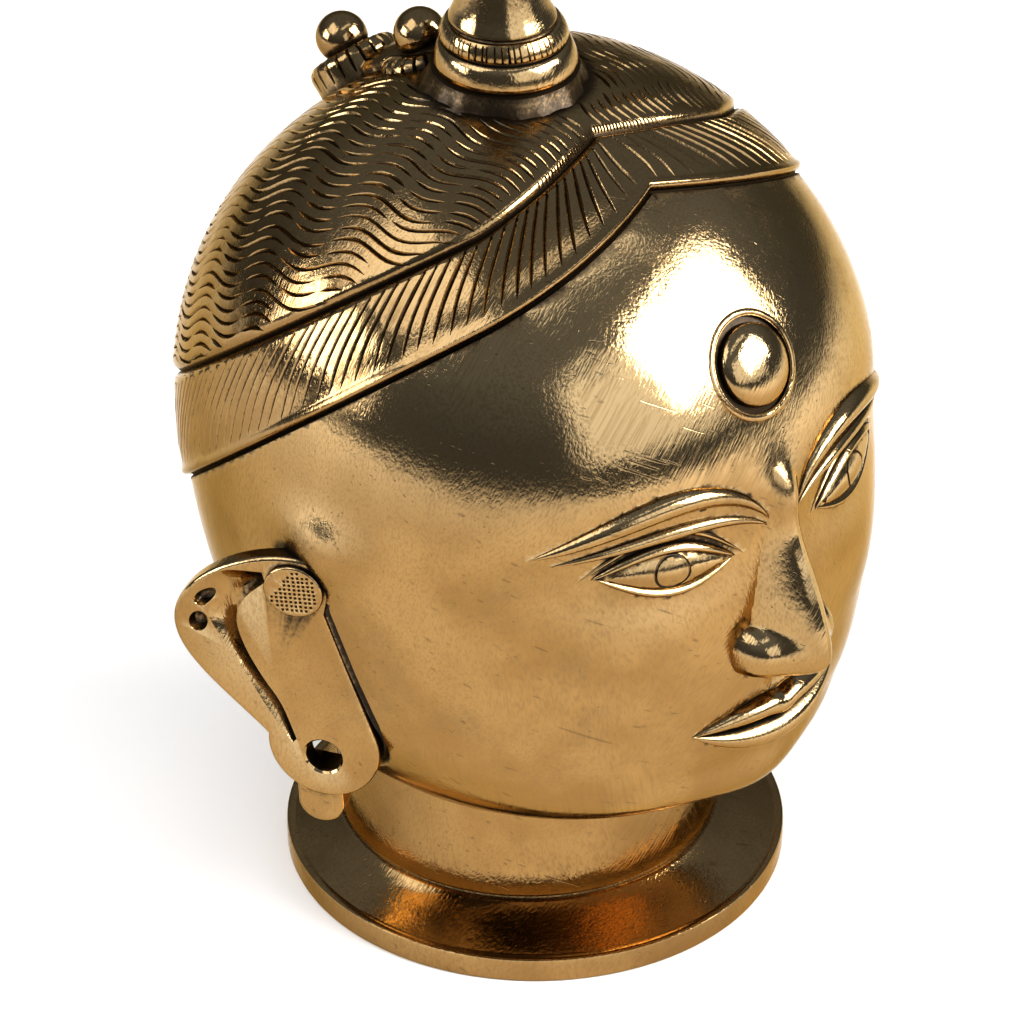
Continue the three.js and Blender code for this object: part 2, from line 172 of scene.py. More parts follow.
# Each pit's place, half width, half height and turn in degrees, and its rows as scale and height
EAR_PITS = ((31.8, 43.0, 3.6, 2.0, -42.0), (33.9, 35.0, 2.4, 3.1, 20.0))
PIT_ROWS = ((0.25, -2.9), (0.7, -2.4), (0.92, -1.2), (1.0, -0.3), (1.12, 0.3), (1.12, 2.0))
CHANNEL_OUTER = (
    (15.5, 52.7), (22.9, 51.4), (27.2, 48), (28.9, 43), (28.5, 37), (25.1, 30.2), (19, 20.4),
    (13.4, 11.1), (8, 1.6),
)
CHANNEL_INNER = (
    (15.0, 50.8), (17.2, 48.8), (20.5, 45.5), (23, 41), (23.4, 36), (20.9, 28.6), (16.3, 20.3),
    (11.2, 13.4), (7.3, 2.4),
)
CHANNEL_DEPTH = 4.8
# Places along the ear's front edge, from its lower end up, for the crease beside it
EAR_FRONT_Y = (-12, -6, 0, 10, 30, 44, 47)
EAR_FRONT_X = (-9.4, -14.4, -16.0, -14.2, -6.9, -1.9, -1.5)

# Finial and rosettes on the crown; profiles give radius and height
FINIAL_BASE = 243.0
FINIAL_LEAN = math.radians(4)
FINIAL_PROFILE = (
    (17, 232), (18, 238), (18.3, 241.6), (18.6, 242.6), (18.95, 243.2), (18.95, 244.4), (18.5, 246.2),
    (17.95, 247.8), (17.4, 248.8), (16.7, 249.4), (16.0, 249.6), (16.0, 250.0), (16.8, 250.5),
    (17.0, 251.4), (16.6, 252.9), (15.9, 254.3), (15.2, 255.1), (14.2, 255.2), (13.8, 255.6),
    (14.2, 256.2), (14.0, 257.0), (13.1, 258.7), (12.2, 261), (11.1, 264.5), (9.9, 269), (8.7, 274),
    (7.4, 280.5), (6.2, 287), (5.2, 293), (4.5, 298), (4.2, 300.6), (4.5, 302.0), (5.4, 303.2),
    (5.9, 304.7), (5.7, 306.2), (4.7, 307.2), (4.1, 307.7), (3.9, 308.4), (3.0, 309.3), (1.6, 309.8),
)
# The beaded ring's outline, for the nicks round it
BEADED_HEIGHT = (250.0, 250.5, 251.4, 252.9, 254.3, 255.1)
BEADED_RADIUS = (16.1, 16.8, 17.0, 16.6, 15.9, 15.2)
BEAD_COUNT = 58
MOUND_PROFILE = (
    (23.6, 231), (23.2, 234.5), (22.3, 236.6), (21.2, 238.6), (20.2, 240.4), (19.5, 241.8), (18, 242.4),
)
# Each rosette's way back from the crown and its height
ROSETTES = ((20.5, 5.0), (39.0, 10.6))
ROSETTE_RADIUS = 12.5
ROSETTE_RIM = ((0.3, 3), (-0.1, 1.6), (-1.0, 0.6), (-2.4, 0.1))
KNOB_RADIUS = 7.1
FLUTE_COUNT = 22
BACK_PER_LEVEL = 90

# How far, and along how many rays, a corner is felt for being shut in
HOLLOW_REACH = 5.5
HOLLOW_RAYS = 16

# Each light's direction in degrees, distance and size in metres, and watts
LIGHTS = (
    ("front_softbox", 30, 33, 1.7, (1.3, 0.9), 44),
    ("front_glow", 4, 25, 1.9, (2.4, 1.25), 15),
    ("side_softbox", -124, 16, 1.7, (0.9, 0.65), 14),
    ("upper_softbox", -112, 50, 1.8, (1.3, 1.1), 11),
    ("overhead_softbox", 5, 69, 2.0, (1.8, 0.26), 2.5),
    ("floor_light", -90, 66, 2.2, (2.4, 2.4), 39),
)
# What the lights are aimed at, in metres; the camera's direction in degrees, and its place in
# millimetres to the side, upwards and away along that direction
HEAD_MIDDLE = (0, 0, 0.15)
CAMERA_DIRECTION = (-45, 33.2)
CAMERA_PLACE = (-6.51, 89.87, 1585.1)
CAMERA_LENS = 196.875

rng = np.random.default_rng(7)


def smoothstep(value, low, high):
    t = np.clip((value - low) / (high - low), 0, 1)
    return t * t * (3 - 2 * t)


def soft(distance, width):
    return np.exp(-((distance / width) ** 2))


def unit(vectors):
    return vectors / np.linalg.norm(vectors, axis=-1, keepdims=True)


def turns(count):
    """Angles spread evenly once round."""
    return np.arange(count) * 2 * math.pi / count


def turned(x, y, angle):
    """Flat places turned round the middle."""
    across = x * math.cos(angle) - y * math.sin(angle)
    return across, x * math.sin(angle) + y * math.cos(angle)


# The skull


def jaw_reach(key, z):
    """A cubic through the jaw's sections, level at the widest height."""
    heights = np.array(JAW_SECTIONS["z"], float)
    reach = np.array(JAW_SECTIONS[key], float)
    gaps = np.diff(heights)
    rises = np.diff(reach) / gaps
    tangents = np.zeros(len(reach))
    tangents[0] = rises[0] * 1.3
    tangents[1:-1] = (rises[:-1] * gaps[1:] + rises[1:] * gaps[:-1]) / (gaps[1:] + gaps[:-1])
    i = np.clip(np.searchsorted(heights, z) - 1, 0, len(gaps) - 1)
    t = (z - heights[i]) / gaps[i]
    return (
        (2 * t**3 - 3 * t**2 + 1) * reach[i]
        + (t**3 - 2 * t**2 + t) * gaps[i] * tangents[i]
        + (3 * t**2 - 2 * t**3) * reach[i + 1]
        + (t**3 - t**2) * gaps[i] * tangents[i + 1]
    )


def head_section(level):
    """Height, centre and reach of the head's section: level 0 is the jaw, 1 the widest, 2 the crown."""
    level = np.asarray(level, float)
    jaw_z = JAW_HEIGHT + (WIDEST_HEIGHT - JAW_HEIGHT) * np.clip(level, 0, 1)
    rise = np.sin(np.clip(level - 1, 0, 1) * math.pi / 2)
    y = CROWN_Y * rise**2
    upper = level > 1
    widest = {key: JAW_SECTIONS[key][-1] for key in DOME_POWER}
    shrink = {k: np.clip(1 - rise**p, 1e-9, None) ** (1 / p) for k, p in DOME_POWER.items()}
    front = (widest["front"] + CROWN_Y) * shrink["front"] - CROWN_Y + y
    back = (widest["back"] - CROWN_Y) * shrink["back"] + CROWN_Y - y
    return {
        "z": np.where(upper, WIDEST_HEIGHT + (CROWN_HEIGHT - WIDEST_HEIGHT) * rise, jaw_z),
        "y": y,
        "half": np.where(upper, widest["half"] * shrink["half"], jaw_reach("half", jaw_z)),
        "front": np.where(upper, front, jaw_reach("front", jaw_z)),
        "back": np.where(upper, back, jaw_reach("back", jaw_z)),
    }


def section_radius(section, angle):
    across = np.abs(np.sin(angle)) / section["half"]
    along = np.abs(np.cos(angle)) / np.where(np.cos(angle) > 0, section["front"], section["back"])
    return (across**SQUARENESS + along**SQUARENESS) ** (-1 / SQUARENESS)


def skull_base(angle, level):
    section = head_section(level)
    radius = section_radius(section, angle)
    x = radius * np.sin(angle)
    y = section["y"] - radius * np.cos(angle)
    return np.stack([x, y, section["z"] + 0 * x], -1)


def skull_normal(angle, level):
    step = 1e-3
    around = skull_base(angle + step, level) - skull_base(angle - step, level)
    up = skull_base(angle, level + step) - skull_base(angle, level - step)
    return unit(np.cross(around, up))


def skull_frame(angle, level):
    return skull_base(angle, level), skull_normal(angle, level)


def skull_point(angle, level, offset):
    base, normal = skull_frame(angle, level)
    return base + normal * np.asarray(offset, float)[..., None]


def level_at(z):
    rise = np.clip((z - WIDEST_HEIGHT) / (CROWN_HEIGHT - WIDEST_HEIGHT), 0, 1)
    low = (z - JAW_HEIGHT) / (WIDEST_HEIGHT - JAW_HEIGHT)
    return np.where(z <= WIDEST_HEIGHT, low, 1 + np.arcsin(rise) * 2 / math.pi)


def raised(angle, level, mm):
    """The level a distance further up the skull."""
    step = 1e-3
    run = skull_base(angle, level + step) - skull_base(angle, level - step)
    return level + mm * (2 * step / np.linalg.norm(run, axis=-1))


def below_edge(edge, point):
    peak = edge["peak"] * np.clip(1 - np.abs(point[..., 0]) / edge["peak_half"], 0, 1) ** edge["power"]
    line = edge["height"] + np.where(point[..., 1] < CROWN_Y, peak, 0)
    return point[..., 2] + edge["slope"] * point[..., 1] < line


def edge_level(edge, angle):
    """The level where a hair edge crosses the skull, found by halving."""
    low = np.full(np.shape(angle), 0.02)
    high = np.full(np.shape(angle), 1.98)
    for _ in range(30):
        middle = (low + high) / 2
        below = below_edge(edge, skull_base(angle, middle))
        low = np.where(below, middle, low)
        high = np.where(below, high, middle)
    return (low + high) / 2


def edge_table(edge):
    """A hair edge's level for any angle, looked up."""
    angles = np.linspace(-math.pi, math.pi, 2881)
    levels = edge_level(edge, angles)
    return lambda angle: np.interp(angle, angles, levels)


def skull_hit(origin, direction):
    """Angle and level where rays from inside the head leave the skull, found by halving."""
    low = np.zeros(direction.shape[:-1])
    high = np.full(direction.shape[:-1], 170.0)
    for _ in range(32):
        middle = (low + high) / 2
        point = origin + direction * middle[..., None]
        section = head_section(level_at(point[..., 2]))
        across = point[..., 1] - section["y"]
        angle = np.arctan2(point[..., 0], -across)
        inside = np.hypot(point[..., 0], across) < section_radius(section, angle)
        inside &= point[..., 2] < CROWN_HEIGHT
        low = np.where(inside, middle, low)
        high = np.where(inside, high, middle)
    point = origin + direction * low[..., None]
    level = level_at(point[..., 2])
    across = point[..., 1] - head_section(level)["y"]
    return np.arctan2(point[..., 0], -across), np.minimum(level, 1.995)


# Meshes


def show(name, data):
    obj = bpy.data.objects.new(name, data)
    bpy.context.scene.collection.objects.link(obj)
    return obj


def face_outwards(mesh, weld=0):
    """Turns a closed mesh's faces outwards, after welding corners that lie closer than a distance."""
    work = bmesh.new()
    work.from_mesh(mesh)
    if weld:
        bmesh.ops.remove_doubles(work, verts=work.verts, dist=weld)
    bmesh.ops.recalc_face_normals(work, faces=work.faces)
    work.to_mesh(mesh)
    work.free()


def loft(name, rings, wrap=False):
    """A closed skin over rings of equal count, its ends shut, or its last ring joined to the first."""
    rings = np.asarray(rings, float)
    spans, count = len(rings), rings.shape[1]
    points = rings.reshape(-1, 3)
    index = np.arange(spans * count).reshape(spans, count)
    if wrap:
        index = np.vstack([index, index[:1]])
    right = np.roll(index, -1, axis=1)
    faces = np.stack([index[:-1], right[:-1], right[1:], index[1:]], -1).reshape(-1, 4).tolist()
    if not wrap:
        for ring in (0, spans - 1):
            middle = len(points)
            points = np.vstack([points, rings[ring].mean(axis=0)])
            faces += [[middle, a, b] for a, b in zip(index[ring], right[ring])]
    mesh = bpy.data.meshes.new(name)
    mesh.from_pydata((points * MM).tolist(), [], faces)
    face_outwards(mesh)
    return show(name, mesh)


def store(mesh, name, values):
    mesh.attributes.new(name, "FLOAT", "POINT").data.foreach_set("value", values)


def bake(obj):
    """Replaces an object's mesh by what its modifiers make of it."""
    graph = bpy.context.evaluated_depsgraph_get()
    mesh = bpy.data.meshes.new_from_object(obj.evaluated_get(graph))
    old = obj.data
    obj.modifiers.clear()
    obj.data = mesh
    bpy.data.meshes.remove(old)
    return obj


def combine(operation, target, *others):
    for other in others:
        step = target.modifiers.new("combine", "BOOLEAN")
        step.operation = operation
        step.solver = "MANIFOLD"
        step.object = other
    bake(target)
    for other in others:
        mesh = other.data
        bpy.data.objects.remove(other)
        bpy.data.meshes.remove(mesh)
    return target


join = partial(combine, "UNION")
cut = partial(combine, "DIFFERENCE")


def drop_slivers(obj, smallest=40):
    """Takes away the loose crumbs of a few corners that the cuts can leave inside."""
    work = bmesh.new()
    work.from_mesh(obj.data)
    seen = set()
    crumbs = []
    for vert in work.verts:
        if vert in seen:
            continue
        island = [vert]
        seen.add(vert)
        for member in island:
            for edge in member.link_edges:
                other = edge.other_vert(member)
                if other not in seen:
                    seen.add(other)
                    island.append(other)
        if len(island) < smallest:
            crumbs += island
    bmesh.ops.delete(work, geom=crumbs, context="VERTS")
    work.to_mesh(obj.data)
    work.free()


def mirrored(obj):
    """The same piece on the other side of the head."""
    mesh = obj.data.copy()
    mesh.transform(Matrix.Scale(-1, 4, (1, 0, 0)))
    mesh.flip_normals()
    return show(obj.name + "_other", mesh)


def both_sides(obj):
    return [obj, mirrored(obj)]


def tube(name, centre, side, normal, width, height, count, swell=1.0, wrap=False):
    """A skin swept along a path, given the ways across it and out of the surface at each of its points."""
    turn = turns(count)
    around = np.cos(turn)[None, :, None] * side[:, None] * width
    out = np.sin(turn)[None, :, None] * normal[:, None] * height
    return loft(name, centre[:, None] + (around + out) * swell, wrap)


def round_place(place, radius, turn, height):
    """A point by its radius, angle and height. place maps sideways, forwards and upwards to the head."""
    return place(radius * np.cos(turn), radius * np.sin(turn), height)


def lathe(name, profile, count, place):
    """A turned shape, open by a hair where its profile meets the axis."""
    turn = turns(count)
    return loft(name, [round_place(place, max(radius, 1e-3), turn, height) for radius, height in profile])


def on_skull(angle, level):
    """A placing for shapes that stand on the skull: sideways, forwards and out from one spot."""
    origin, normal = skull_frame(np.array(angle), np.array(level))
    side = unit(np.cross([0.0, 0.0, 1.0], normal)) if abs(normal[2]) < 0.99 else np.array([1.0, 0, 0])
    up = np.cross(normal, side)

    def place(a, b, c):
        a, b, c = (np.asarray(v, float)[..., None] for v in (a, b, c))
        return origin + a * side + b * up + c * normal

    return place


def surface_of(obj):
    return BVHTree.FromObject(obj, bpy.context.evaluated_depsgraph_get())


def laid_on(surface, points, normals, above=8, reach=12):
    """Points moved along the skull's normals on to a finished surface, and those normals, or None where
    a point misses it."""
    moved = []
    for point, normal in zip(points, normals):
        hit = surface.ray_cast(Vector((point + normal * above) * MM), Vector(-normal), reach * MM)[0]
        if hit is None:
            return None
        moved.append(hit)
    return np.array(moved) / MM, normals


# Engraving, in Geometry Nodes


def add_node(tree, kind, inputs=None, **settings):
    """A node with its settings and inputs, each input a value, a node or one output of a node."""
    node = tree.nodes.new(kind)
    for key, value in settings.items():
        setattr(node, key, value)
    for key, value in (inputs or {}).items():
        if isinstance(value, bpy.types.Node):
            value = value.outputs[0]
        if isinstance(value, bpy.types.NodeSocket):
            tree.links.new(value, node.inputs[key])
        else:
            node.inputs[key].default_value = value
    return node


def node_tree(name, *sockets):
    """A Geometry Nodes tree with named inputs, the last of them the material. Gives a way to add nodes,
    the given inputs, and the tree."""
    tree = bpy.data.node_groups.new(name, "GeometryNodeTree")
    tree.interface.new_socket("Geometry", in_out="INPUT", socket_type="NodeSocketGeometry")
    for label, kind, value in sockets:
        socket = tree.interface.new_socket(label, in_out="INPUT", socket_type=kind)
        socket.default_value = value
    tree.interface.new_socket("Material", in_out="INPUT", socket_type="NodeSocketMaterial")
    tree.interface.new_socket("Geometry", in_out="OUTPUT", socket_type="NodeSocketGeometry")
    return partial(add_node, tree), tree.nodes.new("NodeGroupInput").outputs, tree


def finish_tree(tree, given, geometry):
    real = add_node(tree, "GeometryNodeRealizeInstances", {"Geometry": geometry})
    coat = add_node(tree, "GeometryNodeSetMaterial", {"Geometry": real, "Material": given["Material"]})
    add_node(tree, "NodeGroupOutput", {0: coat})
    return tree


def run_tree(obj, tree, values):
    """Runs a Geometry Nodes tree on an object, keeps the mesh it makes and turns its faces outwards."""
    step = obj.modifiers.new(tree.name, "NODES")
    step.node_group = tree
    for item in tree.interface.items_tree:
        if item.in_out == "INPUT" and item.name in values:
            step[item.identifier] = values[item.name]
    bake(obj)
    face_outwards(obj.data, 1e-8)
    return obj


def graver_tree():
    """Sweeps a graver's three-cornered point along every path, its keel down into the metal."""
    node, given, tree = node_tree(
        "graver",
        ("Half Width", "NodeSocketFloat", HAIR_STROKE[0] * MM),
        ("Depth", "NodeSocketFloat", HAIR_STROKE[1] * MM),
    )
    size = node("GeometryNodeInputNamedAttribute", {"Name": "size"}, data_type="FLOAT")
    facing = node("GeometryNodeInputNamedAttribute", {"Name": "facing"}, data_type="FLOAT_VECTOR")
    path = node("GeometryNodeMeshToCurve", {"Mesh": given["Geometry"]})
    path = node("GeometryNodeSetCurveNormal", {"Curve": path, "Normal": facing}, mode="FREE")
    keel = node("ShaderNodeMath", {0: given["Depth"], 1: -1.0}, operation="MULTIPLY")
    scale = node("ShaderNodeCombineXYZ", {"X": keel, "Y": given["Half Width"], "Z": 1.0})
    point = node("GeometryNodeCurvePrimitiveCircle", {"Resolution": 3, "Radius": 1.0})
    point = node("GeometryNodeTransform", {"Geometry": point, "Scale": scale})
    sweep = node(
        "GeometryNodeCurveToMesh",
        {"Curve": path, "Profile Curve": point, "Scale": size, "Fill Caps": True},
    )
    return finish_tree(tree, given, sweep)


def engraved(tree, brass, target, name, strokes, kind):
    """Cuts strokes into a piece, each given as its points, the way the surface faces there, and its size.
    With no piece to cut, gives the cutters."""
    points, facing, size = (np.concatenate(part) for part in zip(*strokes))
    edges = []
    start = 0
    for stroke in strokes:
        last = start + len(stroke[0])
        edges += [(i, i + 1) for i in range(start, last - 1)]
        start = last
    mesh = bpy.data.meshes.new(name)
    mesh.from_pydata((points * MM).tolist(), edges, [])
    mesh.attributes.new("facing", "FLOAT_VECTOR", "POINT").data.foreach_set("vector", facing.ravel())
    store(mesh, "size", size)
    values = {"Half Width": kind[0] * MM, "Depth": kind[1] * MM, "Material": brass}
    cutters = run_tree(show(name, mesh), tree, values)
    return cut(target, cutters) if target else cutters


def taper(count, ends=0.12):
    """A stroke's size along its length, thin at both ends."""
    t = np.linspace(0, 1, count)
    return np.clip(np.minimum(t / 0.25, (1 - t) / 0.25), 0, 1) ** 0.5 * (1 - ends) + ends


# Face


def face_relief(point):
    """Height of the face's soft forms over the skull, at places seen from the front."""
    x, z = np.abs(point[..., 0]), point[..., 2]
    across = (x - EYE_X) / (EYE_WIDTH / 2)
    tall = z - EYE_HEIGHT
    relief = -4 * soft(across, 1.5) * soft(tall - 2, 13)
    relief += 1.6 * soft(across, 0.8) * soft(tall, 6)
    relief += 2.2 * eyeball(x, z)
    for rise, aside, wide, middle, high in FACE_FORMS:
        relief += rise * soft(x - aside, wide) * soft(z - middle, high)
    return np.where(point[..., 1] < -10, relief * smoothstep(-point[..., 1], 10, 30), 0)


def eyeball(x, z):
    """The swell of the eye between its lids, from 0 at its edge to 1 in the middle."""
    along = np.clip((x - EYE_X) / EYE_WIDTH + 0.5, 0, 1)
    bow = np.sin(math.pi * along)
    open_half = (EYE_RISE + EYE_DROP) / 2 * bow + 1e-3
    middle = EYE_HEIGHT - 1 + EYE_TILT * along + (EYE_RISE - EYE_DROP) / 2 * bow
    up = (z - middle) / open_half
    return np.clip(1 - up**2, 0, 1) * np.clip(bow, 0, 1) ** 0.6


def face_place(x, z):
    """A point of the face, with its soft forms, given as seen from the front, and its normal."""
    level = level_at(z)
    section = head_section(level)
    side = np.clip(1 - (np.abs(x) / section["half"]) ** SQUARENESS, 1e-6, None)
    y = -section["front"] * side ** (1 / SQUARENESS) + section["y"]
    angle = np.arctan2(x, section["y"] - y)
    place, normal = skull_frame(angle, level)
    return place + normal * face_relief(place)[..., None], normal


def ear_swelling(point):
    """The low swelling of the head's side that each ear's upper end grows out of."""
    beside = smoothstep(np.abs(point[..., 0]), 50, 75)
    return 3.6 * beside * soft(point[..., 1] + 9, 14) * soft(point[..., 2] - 141, 10)


def make_skull():
    """The skull with the face's soft forms, its mesh closest over the eyes."""
    nose = np.arange(0, 0.165, 0.0185)
    eye = np.arange(0.18, 0.72, 0.0132)
    temple = np.arange(0.735, 1.2, 0.029)
    rest = np.concatenate([np.arange(1.23, 1.75, 0.032), np.linspace(1.79, math.pi, 26)])
    half = np.concatenate([nose, eye, temple, rest])
    angles = np.concatenate([-half[:0:-1], half[:-1]])
    jaw = [49, 49.6, 50.6, 52]
    mouth = np.arange(53.5, 126, 1.75)
    eyes = np.arange(127.4, 170, 1.2)
    forehead = np.arange(171, 197, 1.9)
    crown = np.concatenate([np.arange(200, 230, 5.0), [232, 235.4]])
    heights = np.concatenate([jaw, mouth, eyes, forehead, crown])
    angle, level = np.meshgrid(angles, level_at(heights))
    base = skull_base(angle, level)
    relief = face_relief(base) + ear_swelling(base)
    return loft("skull", base + skull_normal(angle, level) * relief[..., None])


def ridge(name, path, width, height, steps=44, sides=14, power=0.7):
    """A raised ridge on the face along a path seen from the front, tapering to a point at each end."""
    t = np.linspace(0, 1, steps)
    point, normal = face_place(*path(t))
    ahead = face_place(*path(t + 1e-3))[0]
    side = unit(np.cross(normal, ahead - point))
    swell = np.clip(np.clip(np.sin(math.pi * t), 0, 1) ** power, 0.03, None)[:, None]
    sunk = point - 0.35 * normal * swell
    return tube(name, sunk, side, normal, width, height, sides, swell[:, None])


def brow_path(drop, end, t):
    arch = np.sin(math.pi * np.clip(t, 0, 1) ** 0.75)
    return BROW_START + (end - BROW_START) * t, BROW_HEIGHT - 6 + 13 * arch - drop * (0.3 + arch) + 3 * t


def lid_path(rise, longer, t):
    x = EYE_X + (t - 0.5) * (EYE_WIDTH + longer)
    return x, EYE_HEIGHT - 1 + rise * np.sin(math.pi * np.clip(t, 0, 1)) + EYE_TILT * t


def lip_path(rise, bow, t):
    across = 2 * t - 1
    z = MOUTH_HEIGHT + rise * (1 - across**2) - bow * soft(across, 0.12) + 1.5 * across**2
    return MOUTH_HALF * across, z


def nose_relief(x, z):
    """How far the nose and its wings stand out from the face."""
    down = np.clip((BROW_HEIGHT + 3 - z) / (BROW_HEIGHT + 3 - NOSE_BASE), 0, 1)
    reach = NOSE_ROOT + (NOSE_REACH - NOSE_ROOT) * smoothstep(down, -0.05, 0.95)
    reach *= smoothstep(z, 168, 155)
    reach *= np.sqrt(np.clip(1 - (np.clip(111 - z, 0, None) / 9.2) ** 2, 0, 1))
    half = 5.6 + 7.0 * smoothstep(down, 0, 1)
    bridge = reach * np.clip(1 - np.abs(x / half) ** 1.7, 0, 1)
    across = (np.abs(x) - 9.6) / 7.0
    up = (z - 110.6) / 7.8
    wing = WING_REACH * np.sqrt(np.clip(1 - across**2 - up**2, 0, 1))
    return (bridge**3.2 + wing**3.2) ** (1 / 3.2)


def make_nose():
    """The nose in level slices, each a little sunk where it meets the cheek."""
    bridge = np.arange(164, 122, -3.0)
    wings = np.arange(121, 108, -1.3)
    heights = np.concatenate([bridge, wings, np.arange(107.5, 102.6, -0.6)])
    x = np.sin(np.linspace(-1, 1, 47) * math.pi / 2 * 0.96) * 18.0
    rings = []
    for z in heights:
        root = face_place(x, np.full(len(x), z))[0]
        front = root + np.array([0.0, -1.0, 0.0]) * (nose_relief(x, z) - 0.7)[:, None]
        inner = root[::-1] + np.array([0.0, 9.0, 0.0])
        rings.append(np.vstack([front, inner]))
    return loft("nose", rings)


def make_nostril():
    """A closed ellipsoid under one wing of the nose."""
    centre = face_place(np.array(5.6), np.array(NOSE_BASE))[0] + np.array([0.0, -6.0, -0.6])
    turn = turns(20)
    rings = []
    for tilt in np.linspace(-math.pi / 2 + 0.02, math.pi / 2 - 0.02, 12):
        x, y = turned(2.6 * math.cos(tilt) * np.cos(turn), 4.4 * math.cos(tilt) * np.sin(turn), 0.25)
        rings.append(centre + np.stack([x, y, np.full(20, 3.4 * math.sin(tilt))], -1))
    return loft("nostril", rings)


def iris_ring():
    """An engraved ring round the iris, looking straight ahead."""
    turn = np.linspace(0, 2 * math.pi, 49)
    middle = EYE_HEIGHT - 1 + EYE_TILT / 2 + (EYE_RISE - EYE_DROP) / 2
    points, normals = face_place(EYE_X + IRIS_RADIUS * np.cos(turn), middle + IRIS_RADIUS * np.sin(turn))
    inner = unit(points - points.mean(axis=0))
    return tube("iris_ring", points[:-1], inner[:-1], normals[:-1], 0.42, 0.5, 8, wrap=True)


def make_face_forms():
    eye_and_brow = (
        ("brow", partial(brow_path, 0, BROW_END), 3.3, 3.6, 0.7),
        ("brow_fold", partial(brow_path, 6.6, BROW_END - 4), 2.0, 2.2, 0.7),
        ("upper_lid", partial(lid_path, EYE_RISE, 4), 1.8, 2.6, 0.55),
        ("lid_fold", partial(lid_path, EYE_RISE + 4.8, 9), 1.2, 1.6, 0.7),
        ("lower_lid", partial(lid_path, -EYE_DROP, 2), 1.5, 2.0, 0.55),
    )
    forms = [make_nose()]
    for name, path, width, height, power in eye_and_brow:
        forms += both_sides(ridge(name, path, width, height, power=power))
    forms.append(ridge("upper_lip", partial(lip_path, 4.4, 1.3), 3.4, 4.6, 60, 18, 0.8))
    forms.append(ridge("lower_lip", partial(lip_path, -4.4, 0), 4.0, 5.2, 60, 18, 0.75))
    return forms


# Disc on the forehead


def forehead_disc(head):
    """The domed disc, the trench cut round it and the thin rim raised outside that."""
    level = float(level_at(DISC_HEIGHT))
    place = on_skull(0.0, level)
    surface = surface_of(head)
    turn = turns(DISC_CORNERS)
    normals = np.tile(skull_normal(np.array(0.0), np.array(level)), (DISC_CORNERS, 1))

    def ring(radius, height):
        return laid_on(surface, round_place(place, radius, turn, 0), normals)[0] + normals * height

    inner, outer, deep = DISC_RADIUS - 1.5, DISC_GROOVE, -1.1
    walls = [ring(inner, deep), ring(inner, 2), ring(outer, 2), ring(outer - 0.6, deep)]
    trench = loft("disc_trench", walls, wrap=True)
    dome = [(DISC_RADIUS, -5.0), (DISC_RADIUS, -1.0)]
    for tilt in np.linspace(0, math.pi / 2, 14):
        dome.append((DISC_RADIUS * math.cos(tilt), -0.2 + DISC_RISE * math.sin(tilt)))
    disc = lathe("disc", dome, DISC_CORNERS, place)
    bead = [ring(DISC_GROOVE + 0.7 + 0.85 * math.cos(a), -0.15 + 0.7 * math.sin(a)) for a in turns(10)]
    return trench, disc, loft("disc_rim", bead, wrap=True)


# Hair


def hair_angles(count, crowd):
    """Angles round the head, closer together over the forehead, with one on the parting."""
    turn = np.arange(count) * 2 / count - 1
    return math.pi * (crowd * turn + (1 - crowd) * turn**3)


def hair_shell(name, angles, rows):
    """A layer of hair from rows of level and height over the skull."""
    return loft(name, [skull_point(angles, level, height) for level, height in rows], wrap=True)


def make_band():
    angles = hair_angles(240, 0.6)
    low = edge_level(BAND_EDGE, angles)
    high = edge_level(CAP_EDGE, angles)
    rows = [(low, HAIR_ROOT)]
    rows += [(raised(angles, low, mm), height) for mm, height in BAND_RIM]
    rows += [(low + (high - low) * share, BAND_HEIGHT) for share in (0.36, 0.5, 0.64)]
    rows += [(raised(angles, high, -mm), height) for mm, height in BAND_TOP]
    rows.append((high, HAIR_ROOT))
    return hair_shell("band", angles, rows)


def make_cap():
    angles = hair_angles(200, 0.75)
    low = edge_level(CAP_EDGE, angles)
    top = 1.955
    rows = [(raised(angles, low, -0.2), HAIR_ROOT)]
    rows += [(raised(angles, low, mm), height) for mm, height in CAP_RIM]
    start = rows[-1][0]
    rows += [(start + (top - start) * share, CAP_HEIGHT) for share in np.linspace(0, 1, 22)[1:]]
    rows.append((np.full(len(angles), top), HAIR_ROOT))
    return hair_shell("cap", angles, rows)


def hairline_groove():
    """A chased line round the forehead and temples, close under the hair's lower edge."""
    turn = np.linspace(-math.pi + 0.01, math.pi - 0.01, 361)
    level = raised(turn, edge_level(BAND_EDGE, turn), -0.45)
    return *skull_frame(turn, level), np.ones(len(turn))


def wave_shift(row):
    """How far the waves of a row are set forward of the parting's, in millimetres."""
    return -13 * (np.clip(np.degrees(row) - 25, 0, None) / 36) ** 1.5


def flow_place(side, row, run):
    """A place on the skull along a row of hair: row is its angle out from the parting, and run its way
    back over the head in millimetres. Waves swing it to and fro."""
    axis = unit(np.array([0.0, 1.0, -FLOW_DIP]))
    up = unit(np.array([0.0, FLOW_DIP, 1.0]))
    swing = WAVE_REACH * np.cos(2 * math.pi * (run - WAVE_CREST - wave_shift(row)) / WAVE_LENGTH)
    turn = row - swing / FLOW_RADIUS
    along = (run - FLOW_START * np.cos(row)) / FLOW_RADIUS
    out = np.cos(turn)[..., None] * up + (side * np.sin(turn))[..., None] * np.array([1.0, 0.0, 0.0])
    direction = np.cos(along)[..., None] * out + np.sin(along)[..., None] * axis
    return skull_hit(FLOW_CENTRE, direction)


def row_kept(index, spread):
    """Rows drop out where they draw together towards the back of the head."""
    step = 1 if spread > 2.0 else 2 if spread > 1.0 else 4
    return spread > 0.5 and index % step == 0


